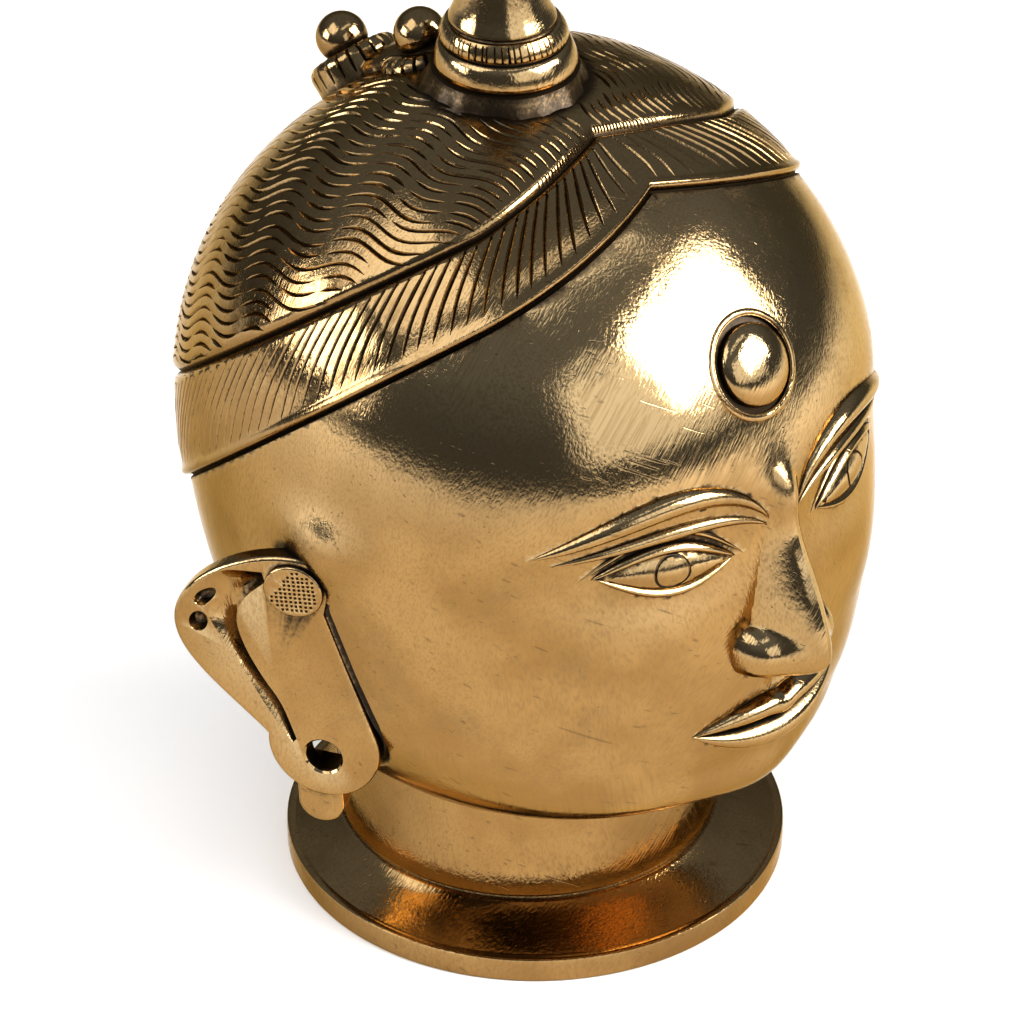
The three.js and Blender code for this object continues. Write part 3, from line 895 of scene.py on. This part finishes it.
def stroke_plan():
    """Every row of the cap's hair as a chain of short arches and cups, some of them joined."""
    strokes = []
    for side in (-1, 1):
        for index in range(ROW_COUNT):
            row = (index + 0.5) * ROW_STEP
            breaks = WAVE_CREST + wave_shift(row) + WAVE_LENGTH * (np.arange(24) / 2 - 4.75)
            breaks += rng.normal(0, 1.0, len(breaks))
            breaks = breaks[rng.random(len(breaks)) > 0.22]
            for start, end in zip(breaks[:-1], breaks[1:]):
                gap = 0.55 + 0.3 * rng.random()
                run = np.linspace(start + gap, end - gap, max(int((end - start) / 1.8), 5))
                strokes.append((side, index, row + rng.normal(0, 0.16) / FLOW_RADIUS, run))
    return strokes


def longest_run(flags):
    """First and last place of the longest unbroken run of true flags."""
    edges = np.flatnonzero(np.diff(np.concatenate([[0], flags.astype(int), [0]])))
    if len(edges) == 0:
        return 0, 0
    starts, ends = edges[::2], edges[1::2]
    longest = int(np.argmax(ends - starts))
    return int(starts[longest]), int(ends[longest])


def cap_strokes(surface):
    """The waved strokes of the cap, clear of its edge, the parting, the finial and the rosettes."""
    plan = stroke_plan()
    lengths = [len(stroke[3]) for stroke in plan]
    side = np.repeat([stroke[0] for stroke in plan], lengths)
    row = np.repeat([stroke[2] for stroke in plan], lengths)
    run = np.concatenate([stroke[3] for stroke in plan])
    angle, level = flow_place(side, row, run)
    points, normals = skull_frame(angle, level)
    spread = np.linalg.norm(points - skull_base(*flow_place(side, row + ROW_STEP, run)), axis=-1)
    clear = raised(angle, level, -1.4) > edge_table(CAP_EDGE)(angle)
    clear &= np.hypot(points[:, 0], points[:, 1] - CROWN_Y) > 21.5
    clear &= np.abs(points[:, 0]) > 0.9
    for back, _ in ROSETTES:
        knob = skull_base(np.array(math.pi), np.array(2 - back / BACK_PER_LEVEL))
        clear &= np.linalg.norm(points - knob, axis=-1) > ROSETTE_RADIUS + 1.5
    strokes = []
    start = 0
    for (_, index, _, _), length in zip(plan, lengths):
        whole = slice(start, start + length)
        start += length
        first, last = longest_run(clear[whole])
        if last - first < 4 or not row_kept(index, spread[whole].min()):
            continue
        part = slice(whole.start + first, whole.start + last)
        laid = laid_on(surface, points[part], normals[part])
        if laid:
            strokes.append((*laid, taper(last - first) * (0.85 + 0.3 * rng.random())))
    return strokes


def band_strokes(surface):
    """Straight strokes from the cap's edge down to the band's smooth rim, leaning back as they fall."""
    strokes = []
    angles = np.linspace(0, math.pi, 1400)
    lower, upper = edge_table(BAND_EDGE), edge_table(CAP_EDGE)
    middle = skull_base(angles, (lower(angles) + upper(angles)) / 2)
    length = np.concatenate([[0], np.cumsum(np.linalg.norm(np.diff(middle, axis=0), axis=-1))])
    share = np.linspace(0.985, 0.0, 12)
    for side in (-1, 1):
        at = 3.0
        while at < length[-1] - 2:
            angle = np.interp(at, length, angles)
            lean = 0.1 * smoothstep(angle, 0.0, 0.5) + rng.normal(0, 0.006)
            turn = angle + lean * (0.5 - share) + 0.02 * np.sin(math.pi * share)
            turn = np.clip(turn, 0.008, math.pi - 0.008) * side
            foot = raised(turn, lower(turn), 2.9 + rng.random())
            top = raised(turn, upper(turn), -1.2)
            laid = laid_on(surface, *skull_frame(turn, foot + (top - foot) * share))
            if laid:
                strokes.append((*laid, taper(12, 0.15) * (0.85 + 0.35 * rng.random())))
            at += BAND_SPACING + rng.random() * 0.9
    return strokes


def cap_rim_strokes(surface):
    """Short nicks that turn the cap's edge into a cord on both sides of its peak."""
    upper = edge_table(CAP_EDGE)
    strokes = []
    for side, reach in ((-1, 0.62), (1, 0.5)):
        for at in np.arange(0.02, reach, 0.026):
            turn = np.linspace(at - 0.006, at + 0.006, 5) * side
            level = raised(turn, upper(turn), np.linspace(0.6, 2.6, 5))
            laid = laid_on(surface, *skull_frame(turn, level))
            strokes.append((*laid, taper(5, 0.4) * (0.7 + 0.4 * rng.random())))
    return strokes


# Crown


def finial_place(x, y, z):
    """A place round the finial's own axis, which leans a little to one side and back."""
    aside = math.tan(FINIAL_LEAN) * np.clip(z - FINIAL_BASE, 0, None) * math.sqrt(0.5)
    return np.stack([x - aside, CROWN_Y + y + aside, z + 0 * x], -1)


def make_mound():
    """The rough fillet of brass between the cap and the finial's foot."""
    turn = turns(72)
    lumps = 0.5 * np.sin(3 * turn + 1) + 0.4 * np.sin(8 * turn) + 0.3 * np.sin(17 * turn + 2)
    rings = []
    for radius, z in MOUND_PROFILE:
        share = smoothstep(radius, 18.5, 22.0)
        reach = radius + lumps * share
        height = z + 0.35 * np.sin(5 * turn + z) * share
        rings.append(round_place(finial_place, reach, turn, height))
    return loft("mound", rings)


def finial_nicks():
    """Upright nicks round the beaded ring."""
    strokes = []
    height = np.linspace(250.1, 254.9, 6)
    radius = np.interp(height, BEADED_HEIGHT, BEADED_RADIUS)
    for i in range(BEAD_COUNT):
        turn = (i + 0.15 * rng.normal()) * 2 * math.pi / BEAD_COUNT
        points = round_place(finial_place, radius, turn, height)
        out = unit(np.array([math.cos(turn), math.sin(turn), 0.25]))
        strokes.append((points, np.tile(out, (6, 1)), taper(6, 0.4) * (0.8 + 0.4 * rng.random())))
    return strokes


def make_rosette(back, height):
    """A round base with a softened rim and a ball on top."""
    profile = [(ROSETTE_RADIUS - 0.5, -6), (ROSETTE_RADIUS, 0)]
    profile += [(ROSETTE_RADIUS + wider, height - drop) for wider, drop in ROSETTE_RIM]
    profile += [(KNOB_RADIUS + 0.8, height + 0.1), (KNOB_RADIUS * 0.72, height - 0.3)]
    for tilt in np.radians(np.linspace(-50, 88, 16)):
        profile.append((KNOB_RADIUS * math.cos(tilt), height + 4 + KNOB_RADIUS * math.sin(tilt)))
    return lathe("rosette", profile, 72, on_skull(math.pi, 2 - back / BACK_PER_LEVEL))


def rosette_flutes(back, height):
    """Flutes round a rosette's wall and over its rim."""
    place = on_skull(math.pi, 2 - back / BACK_PER_LEVEL)
    origin = place(0, 0, 0)
    normal = place(0, 0, 1) - origin
    # Each flute's points by radius, height and the way the surface faces, in degrees from level
    path = (
        (ROSETTE_RADIUS + 0.2, max(height - 7, 0.5), 0),
        (ROSETTE_RADIUS + 0.3, height - 3, 5),
        (ROSETTE_RADIUS, height - 1.5, 30),
        (ROSETTE_RADIUS - 1.3, height - 0.45, 62),
        (ROSETTE_RADIUS - 2.8, height, 85),
        (KNOB_RADIUS + 1.8, height + 0.1, 88),
    )
    radius, rise, outward = np.array(path).T
    lean = np.radians(outward)[:, None]
    strokes = []
    for turn in turns(FLUTE_COUNT):
        points = round_place(place, radius, turn, rise)
        level = round_place(place, 1, turn, 0) - origin
        facing = np.cos(lean) * level + np.sin(lean) * normal
        strokes.append((points, facing, taper(6, 0.5)))
    return strokes


def make_link():
    """The low ridge that joins the finial's mound and the two rosettes."""
    back = np.linspace(8, 50, 22)
    level = 2 - back / BACK_PER_LEVEL
    angle = np.full(len(back), math.pi)
    centre = skull_point(angle, level, 2.4)
    normal = skull_normal(angle, level)
    swell = np.clip(np.sin(math.pi * np.linspace(0.08, 1, 22)), 0.06, 1)[:, None, None] ** 0.5
    return tube("link", centre, np.array([[1.0, 0.0, 0.0]]), normal, 7.5, 5.2, 16, swell)


def make_crown(engrave):
    finial = lathe("finial", FINIAL_PROFILE, 96, finial_place)
    engrave(finial, "finial_marks", finial_nicks(), FINIAL_NICK)
    crown = [finial, make_mound(), make_link()]
    for rosette in ROSETTES:
        crown.append(engrave(make_rosette(*rosette), "flutes", rosette_flutes(*rosette), FLUTE))
    return crown


# Ears


def ear_place(x, y, out):
    """A point from places in the plane of the ear's flat face."""
    back = np.array([-math.sin(EAR_FLARE), math.cos(EAR_FLARE), 0.0])
    outward = np.array([-math.cos(EAR_FLARE), -math.sin(EAR_FLARE), 0.0])
    x, y, out = (np.asarray(v, float)[..., None] for v in (x, y, out))
    return EAR_ORIGIN + x * back + y * np.array([0.0, 0.0, 1.0]) + out * outward


def ear_outward():
    return ear_place(0, 0, 1) - ear_place(0, 0, 0)


def ear_loft(name, rows):
    """A piece of the ear from rows of flat outline and height over the ear's face."""
    return loft(name, [ear_place(line[:, 0], line[:, 1], out) for line, out in rows])


def bezier(corners, count):
    t = np.linspace(0, 1, count, endpoint=False)[:, None]
    points = np.asarray(corners, float)
    while len(points) > 1:
        points = [a + (b - a) * t for a, b in zip(points[:-1], points[1:])]
    return points[0]


def arc(x, y, radius, start, end, count, tall=None):
    turn = np.radians(np.linspace(start, end, count))
    return np.stack([x + radius * np.cos(turn), y + (tall or radius) * np.sin(turn)], -1)


def inset(outline, distance):
    """An outline moved inwards along its own corners' normals."""
    following = np.roll(outline, -1, axis=0)
    tangent = unit(unit(following - outline) + unit(outline - np.roll(outline, 1, axis=0)))
    normal = np.stack([-tangent[:, 1], tangent[:, 0]], -1)
    area = 0.5 * np.sum(outline[:, 0] * following[:, 1] - following[:, 0] * outline[:, 1])
    return outline + normal * distance * np.sign(area)


def plate(name, outline, back, front, edge, slant=0.0):
    """A flat piece in the ear's plane with rounded edges, its face slanting back towards the bottom."""
    bend = np.radians(np.linspace(0, 90, 5))
    rows = [(inset(outline, edge * (1 - math.sin(a))), back + edge * (1 - math.cos(a))) for a in bend]
    rows += [(inset(outline, edge * (1 - math.sin(a))), front - edge * (1 - math.cos(a))) for a in bend[::-1]]
    top = outline[:, 1].max()
    return ear_loft(name, [(line, out + slant * (line[:, 1] - top)) for line, out in rows])


def ear_outline():
    return np.vstack(
        [
            [[-1, 43.5]],
            bezier([(-2.5, 50.5), (-1.0, 59.5), (6.5, 59.5)], 12),
            bezier([(6.5, 59.5), (22, 59.5), (41, 47.5), (41, 34.5)], 26),
            bezier([(41, 34.5), (41, 23), (27.5, 14), (15.5, 2.5)], 22),
            arc(0, 1, LOBE_RADIUS, 5, -200, 40),
        ]
    )


def make_channel():
    """The deep channel: its wall is steep on the slab's side and eases up to the helix."""
    t = np.linspace(0, 1, 34)
    knots = np.linspace(0, 1, len(CHANNEL_OUTER))
    curves = []
    for corners in (CHANNEL_INNER, CHANNEL_OUTER):
        curve = np.stack([np.interp(t, knots, column) for column in zip(*corners)], -1)
        for _ in range(3):
            curve[1:-1] = (curve[:-2] + 2 * curve[1:-1] + curve[2:]) / 4
        curves.append(curve)
    depth = CHANNEL_DEPTH * np.clip(np.sin(math.pi * np.clip(t * 0.94 + 0.03, 0, 1)), 0, 1) ** 0.3
    rings = []
    for inner, outer, deep in zip(*curves, depth):
        across = (
            (0.0, 2.0), (0.0, -deep), (0.3, -deep * 1.02), (0.65, -deep * 0.8), (1.0, -deep * 0.5),
            (1.35, -deep * 0.2), (1.62, 0.05), (1.9, 2.0),
        )
        share, out = np.array(across).T
        places = inner + (outer - inner) * share[:, None]
        rings.append(ear_place(places[:, 0], places[:, 1], out))
    return loft("channel", rings)


def punch_tree():
    """Stands a four-sided point, tip down, at every given place."""
    node, given, tree = node_tree(
        "punch",
        ("Width", "NodeSocketFloat", 1.35 * MM),
        ("Height", "NodeSocketFloat", 1.6 * MM),
        ("Facing", "NodeSocketVector", (0.0, 0.0, 1.0)),
    )
    tip = node(
        "GeometryNodeMeshCone",
        {"Vertices": 4, "Radius Top": given["Width"], "Radius Bottom": 0.00005, "Depth": given["Height"]},
    )
    turn = node("FunctionNodeAlignRotationToVector", {"Vector": given["Facing"]}, axis="Z")
    stand = node(
        "GeometryNodeInstanceOnPoints",
        {"Points": given["Geometry"], "Instance": tip, "Rotation": turn},
    )
    return finish_tree(tree, given, stand)


def punch_cuts(brass):
    """A grid of small square punch marks on the pad."""
    places = []
    for i in range(-5, 6):
        for j in range(-5, 6):
            x = PAD[0] + i * 1.3 + 0.12 * j - 0.6
            y = PAD[1] + j * 1.25 - 0.14 * i - 0.4
            across, up = (x - PAD[0]) / PAD[2], (y - PAD[1]) / PAD[2]
            if across**2 + (up / PAD_TALL) ** 2 < 0.74 and x + 0.6 * y < PAD[0] + 0.6 * PAD[1] + 4.5:
                places.append((x + rng.normal(0, 0.05), y + rng.normal(0, 0.05)))
    x, y = np.array(places).T
    mesh = bpy.data.meshes.new("punch_marks")
    mesh.from_pydata((ear_place(x, y, PAD_RISE - 0.6) * MM).tolist(), [], [])
    return run_tree(show("punch_marks", mesh), punch_tree(), {"Facing": ear_outward(), "Material": brass})


def make_pits():
    pits = []
    for x, y, half, tall, turn in EAR_PITS:
        line = arc(0, 0, half, 0, 345, 24, tall)
        line = np.stack(turned(line[:, 0], line[:, 1], math.radians(turn)), -1)
        pits.append(ear_loft("ear_pit", [(line * scale + (x, y), out) for scale, out in PIT_ROWS]))
    return pits


def make_ear(brass):
    """One ear: its slab, the root into the head, a cut-off casting stub, the pad and all that is cut in."""
    slab = plate("ear", ear_outline(), -EAR_THICKNESS, 0.0, 1.2)
    root_line = np.array(EAR_ROOT)
    root = ear_loft("ear_root", [(root_line, -28.0), (root_line, -4.0)])
    stub_line = np.vstack([[(-4.3, -6)], arc(2, -19.6, 6.4, 180, 360, 30), [(8.4, -6)]])
    stub = plate("ear_stub", stub_line, -9.0, -1.4, 1.3, 0.1)
    pad = plate("ear_pad", arc(*PAD, 0, 350, 36, PAD[2] * PAD_TALL), -2.0, PAD_RISE, 0.7)
    cut(slab, make_channel())
    join(slab, root, stub, pad)
    x, y, radius = LOBE_HOLE
    hole = arc(x, y, radius, 0, 350, 36)
    wide = arc(x, y, radius + 1.0, 0, 350, 36)
    drill = ear_loft("lobe_drill", [(hole, -9.0), (hole, -1.9), (hole, -0.55), (wide, 0.45), (wide, 3.0)])
    return cut(slab, drill, *make_pits(), punch_cuts(brass))


def ear_crease(head):
    """A chased line down the cheek, close along the ear's front edge."""
    y = np.linspace(47, -12, 40)
    starts = ear_place(np.interp(y, EAR_FRONT_Y, EAR_FRONT_X), y, 12.0)
    surface = surface_of(head)
    points, facing = [], []
    for start in starts:
        place, normal, _, _ = surface.ray_cast(Vector(start * MM), Vector(-ear_outward()), 60 * MM)
        if place is not None:
            points.append(np.array(place) / MM)
            facing.append(np.array(normal))
    return np.array(points), np.array(facing), taper(len(points), 0.25)


# Foot


def make_foot():
    turn = turns(144) - math.pi
    rings = []
    for radius, z, y in FOOT:
        rings.append(np.stack([radius * np.sin(turn), y - radius * np.cos(turn), z + 0 * turn], -1))
    return loft("foot", rings)


# Brass


def mark_surface(obj):
    """Stores three masks for the brass: how shut in each corner is (residue and painted shade), how far it
    faces up (upper faces painted paler, painted light), and the hair.
    """
    mesh = obj.data
    surface = surface_of(obj)
    points = np.empty(len(mesh.vertices) * 3)
    mesh.vertices.foreach_get("co", points)
    points = points.reshape(-1, 3)
    normals = np.array([normal.vector for normal in mesh.vertex_normals])
    # Rays from each corner feel how shut in it is; the brass is darkened there, partly residue and partly
    # painted shade.
    turn = np.arange(HOLLOW_RAYS) * math.pi * (3 - math.sqrt(5))
    rise = 1 - (np.arange(HOLLOW_RAYS) + 0.5) / HOLLOW_RAYS
    across = np.sqrt(1 - rise)
    spread = np.stack([across * np.cos(turn), across * np.sin(turn), np.sqrt(rise)], -1)
    helper = np.where(np.abs(normals[:, 2:3]) < 0.9, [[0.0, 0.0, 1.0]], [[1.0, 0.0, 0.0]])
    side = unit(np.cross(helper, normals))
    up = np.cross(normals, side)
    reach = HOLLOW_REACH * MM
    starts = points + normals * 0.06 * MM
    shade_and_residue = np.zeros(len(points))
    for x, y, z in spread:
        directions = side * x + up * y + normals * z
        for i in range(len(points)):
            distance = surface.ray_cast(starts[i], directions[i], reach)[3]
            if distance is not None:
                shade_and_residue[i] += 1 - distance / reach
    places = points / MM
    store(mesh, "shade_and_residue", shade_and_residue / HOLLOW_RAYS + stains_and_painted_shade(places))
    # Faces that look up are painted paler and greyer, standing in for the bright room they mirror: painted
    # light, weaker on the foot.
    above_foot = 0.4 + 0.6 * smoothstep(places[:, 2], 20, 60)
    store(mesh, "faces_up_painted_pale", smoothstep(normals[:, 2], 0.0, 0.45) * above_foot)
    finial = (np.hypot(places[:, 0], places[:, 1] - CROWN_Y) < 21) & (places[:, 2] > 242)
    store(mesh, "hair", np.where(below_edge(BAND_EDGE, places) | finial, 0.0, 1.0))


def stains_and_painted_shade(places):
    """Dirt and polishing paste left where a cloth doesn't reach, at the finial's foot and the ears' roots;
    painted shade in the lobes' holes and painted shadow on the head at the back of each lobe.
    """
    from_axis = np.hypot(places[:, 0], places[:, 1] - CROWN_Y)
    crown = 0.27 * soft(np.clip(from_axis - 21, 0, None), 5) * smoothstep(places[:, 2], 224, 236)
    crown *= smoothstep(places[:, 2], 243.5, 242.0)
    folded = places.copy()
    folded[:, 0] = -np.abs(folded[:, 0])
    root = np.linalg.norm((folded - [-88, -4, 142]) * [0.5, 0.8, 1.3], axis=-1)
    hole = ear_place(LOBE_HOLE[0], LOBE_HOLE[1], 0)
    out = (folded - hole) @ ear_outward()
    aside = np.linalg.norm(folded - hole - out[:, None] * ear_outward(), axis=-1)
    # Painted shade in the lobe's hole, and painted shadow on the neck and jaw at the back of the lobe.
    hole_painted_shade = 0.4 * soft(np.clip(aside - 5.5, 0, None), 1.2) * smoothstep(out, -0.9, -2.0) * (out > -9)
    painted_shadow_behind_lobe = 0.26 * soft(np.clip(aside - 8, 0, None), 6) * (out < -9) * (out > -45)
    return crown + 0.2 * soft(root, 10) + hole_painted_shade + painted_shadow_behind_lobe


def brass_material():
    """Hand-polished brass: dark residue and painted shade in the hollows, upper faces painted paler as
    painted light, brush lines, scratches and small pits.
    """
    material = bpy.data.materials.new("cast_brass")
    material.use_nodes = True
    tree = material.node_tree
    tree.nodes.clear()
    node = partial(add_node, tree)
    where = node("ShaderNodeTexCoord").outputs["Object"]

    def mask(name):
        return node("ShaderNodeAttribute", attribute_name=name).outputs["Fac"]

    def noise(scale, detail=2.0, turn=(0, 0, 0), length=1.0, rough=0.5):
        """Noise over the brass, drawn out to a given length along one turned direction."""
        drawn = {"Vector": where, "Rotation": turn, "Scale": (length, 1, 1)}
        place = node("ShaderNodeMapping", drawn, vector_type="TEXTURE")
        grain = {"Vector": place, "Scale": scale, "Detail": detail, "Roughness": rough}
        return node("ShaderNodeTexNoise", grain)

    def span(value, low, high, to_low=0.0, to_high=1.0):
        ends = {"Value": value, "From Min": low, "From Max": high, "To Min": to_low, "To Max": to_high}
        return node("ShaderNodeMapRange", ends, interpolation_type="SMOOTHSTEP")

    def plus(first, second, operation="ADD"):
        return node("ShaderNodeMath", {0: first, 1: second}, operation=operation)

    times = partial(plus, operation="MULTIPLY")
    minus = partial(plus, operation="SUBTRACT")

    def mix(share, first, second):
        return node("ShaderNodeMix", {0: share, 6: first, 7: second}, data_type="RGBA").outputs[2]

    warm = (0.28, 0.162, 0.054, 1)
    yellow = (0.36, 0.222, 0.084, 1)
    # Paler, greyer tone for faces that look up: painted light.
    painted_top_light = (0.46, 0.345, 0.19, 1)
    stain = (0.22, 0.135, 0.055, 1)
    # Near black for scratches and pits, and for residue and painted shade in the recesses.
    polish_and_shade = (0.028, 0.019, 0.012, 1)

    clouds = noise(34, 4)
    stains = span(noise(26, 6, rough=0.68), 0.53, 0.7)
    brushed = noise(1700, 2, (0, -0.8, 0), 110.0, 0.55)
    crossed = noise(1500, 2, (0.5, 1.15, 0.5), 90.0, 0.55)
    where_crossed = span(noise(30, 2), 0.45, 0.58)
    lines = node("ShaderNodeMix", {0: where_crossed, 2: brushed, 3: crossed})
    scratches = span(noise(800, 1, (0.2, 0.45, -0.6), 90.0), 0.7, 0.75)
    pits = span(noise(1300, 2), 0.22, 0.27, 1.0, 0.0)
    grime = times(minus(noise(900, 3, rough=0.65), 0.5), 0.2)
    # Darkening where corners are shut in, with grime: residue and painted shade.
    dark = span(plus(mask("shade_and_residue"), grime), 0.10, 0.34)

    tone = mix(span(clouds, 0.35, 0.65), warm, yellow)
    # Faces that look up painted paler: painted light.
    tone = mix(times(mask("faces_up_painted_pale"), 0.9), tone, painted_top_light)
    tone = mix(times(stains, 0.45), tone, stain)
    tone = mix(times(mask("hair"), 0.42), tone, stain)
    tone = mix(times(span(lines, 0.42, 0.66), 0.38), tone, stain)
    tone = mix(times(scratches, 0.3), tone, polish_and_shade)
    tone = mix(times(pits, 0.8), tone, polish_and_shade)
    # Darkest in shut-in corners: residue and painted shade.
    tone = mix(times(dark, 0.96), tone, polish_and_shade)

    rough = plus(0.06, times(clouds, 0.07))
    rough = plus(rough, times(minus(lines, 0.48), 0.42))
    rough = plus(rough, times(stains, 0.12))
    rough = plus(rough, times(dark, 0.35))

    height = minus(minus(lines, times(pits, 0.9)), times(scratches, 0.5))
    height = plus(height, times(noise(120, 4), 2.6))
    bump = node("ShaderNodeBump", {"Height": height, "Strength": 0.16, "Distance": 0.0004})
    shader = node(
        "ShaderNodeBsdfPrincipled",
        {
            "Base Color": tone,
            "Metallic": 1.0,
            "Roughness": rough,
            "Normal": bump,
            "Specular Tint": (0.82, 0.66, 0.42, 1),
            "Coat Weight": 0.15,
            "Coat Roughness": 0.15,
        },
    )
    node("ShaderNodeOutputMaterial", {"Surface": shader})
    return material


# Stage


def way_to(azimuth, elevation):
    """A direction from the head, in degrees: azimuth 0 is in front of the face."""
    azimuth, elevation = math.radians(azimuth), math.radians(elevation)
    level = math.cos(elevation)
    return math.sin(azimuth) * level, -math.cos(azimuth) * level, math.sin(elevation)


def softbox(name, azimuth, elevation, distance, size, power):
    """A soft light aimed at the head."""
    toward = Vector(way_to(azimuth, elevation))
    lamp = bpy.data.lights.new(name, "AREA")
    lamp.shape = "RECTANGLE"
    lamp.size, lamp.size_y = size
    lamp.energy = power
    obj = show(name, lamp)
    obj.location = Vector(HEAD_MIDDLE) + toward * distance
    obj.rotation_mode = "QUATERNION"
    obj.rotation_quaternion = (-toward).to_track_quat("-Z", "Y")
    return obj


def make_camera():
    azimuth = math.radians(CAMERA_DIRECTION[0])
    toward = np.array(way_to(*CAMERA_DIRECTION))
    right = np.array([math.cos(azimuth), math.sin(azimuth), 0.0])
    up = np.cross(toward, right)
    aside, above, away = CAMERA_PLACE
    place = (aside * right + above * up + away * toward) * MM
    camera = bpy.data.cameras.new("camera")
    camera.lens = CAMERA_LENS
    camera.sensor_width = 36.0
    camera.clip_start, camera.clip_end = 0.05, 60
    obj = show("camera", camera)
    axes = Matrix([right, up, toward]).transposed().to_4x4()
    obj.matrix_world = Matrix.Translation(Vector(place)) @ axes
    bpy.context.scene.camera = obj


def make_room():
    """The room that the brass mirrors: dark walls low down, paler towards the ceiling."""
    world = bpy.data.worlds.new("studio")
    world.use_nodes = True
    node = partial(add_node, world.node_tree)
    direction = node("ShaderNodeTexCoord").outputs["Generated"]
    height = node("ShaderNodeSeparateXYZ", {"Vector": direction}).outputs["Z"]
    rise = {"Value": height, "From Min": 0.15, "From Max": 0.75}
    share = node("ShaderNodeMapRange", rise, interpolation_type="SMOOTHSTEP")
    walls, ceiling = (0.16, 0.17, 0.185, 1), (0.31, 0.335, 0.37, 1)
    shade = node("ShaderNodeMix", {0: share, 6: walls, 7: ceiling}, data_type="RGBA")
    world.node_tree.links.new(shade.outputs[2], world.node_tree.nodes["Background"].inputs["Color"])
    bpy.context.scene.world = world


def make_stage():
    reach = 6.0
    corners = [(-reach, -reach, 0), (reach, -reach, 0), (reach, reach, 0), (-reach, reach, 0)]
    mesh = bpy.data.meshes.new("floor")
    mesh.from_pydata(corners, [], [(0, 1, 2, 3)])
    floor = show("floor", mesh)
    pale = bpy.data.materials.new("pale_floor")
    pale.use_nodes = True
    surface = pale.node_tree.nodes["Principled BSDF"].inputs
    surface["Base Color"].default_value = (0.84, 0.83, 0.82, 1)
    surface["Roughness"].default_value = 0.9
    surface["Specular IOR Level"].default_value = 0.1
    mesh.materials.append(pale)
    floor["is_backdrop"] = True
    make_room()
    for light in LIGHTS:
        lamp = softbox(*light)
    # The last lamp is there for the floor, so the brass doesn't mirror it
    lamp.visible_glossy = False
    bpy.context.scene.view_settings.view_transform = "Standard"
    bpy.context.scene.view_settings.gamma = 0.82


def build_head(brass):
    """The whole casting: every part cut and chased on its own, then joined into one closed mesh."""
    engrave = partial(engraved, graver_tree(), brass)
    head = make_skull()
    crease_line = ear_crease(head)
    trench, disc, rim = forehead_disc(head)
    cut(head, trench)
    join(head, disc, rim, make_foot(), *make_face_forms())
    cut(head, *both_sides(make_nostril()), *both_sides(iris_ring()))

    band = make_band()
    engrave(band, "band_marks", band_strokes(surface_of(band)), HAIR_STROKE)
    cap = make_cap()
    smooth_cap = surface_of(cap)
    engrave(cap, "cap_marks", cap_strokes(smooth_cap), HAIR_STROKE)
    engrave(cap, "cap_rim_marks", cap_rim_strokes(smooth_cap), CORD_NICK)
    crown = make_crown(engrave)
    ears = both_sides(make_ear(brass))
    creases = both_sides(engrave(None, "ear_crease", [crease_line], EAR_CREASE))
    hairline = engrave(None, "hairline_groove", [hairline_groove()], HAIRLINE)
    cut(head, *creases, hairline)
    join(head, band, cap, *crown, *ears)
    drop_slivers(head)
    head.name = "devotional_head"
    head.data.materials.clear()
    head.data.materials.append(brass)
    head.data.shade_smooth()
    head.data.set_sharp_from_angle(angle=math.radians(32))
    mark_surface(head)
    even = head.modifiers.new("even_shading", "WEIGHTED_NORMAL")
    even.keep_sharp = True
    return bake(head)


def main():
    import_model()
    solid_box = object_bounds()
    make_camera()
    make_stage()
    head = build_head(brass_material())
    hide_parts("brass_head")
    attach(head, "root")
    boxes = {"cad": solid_box, "visual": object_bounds()}
    {name: [list(corner) for corner in box] for name, box in boxes.items()}


main()
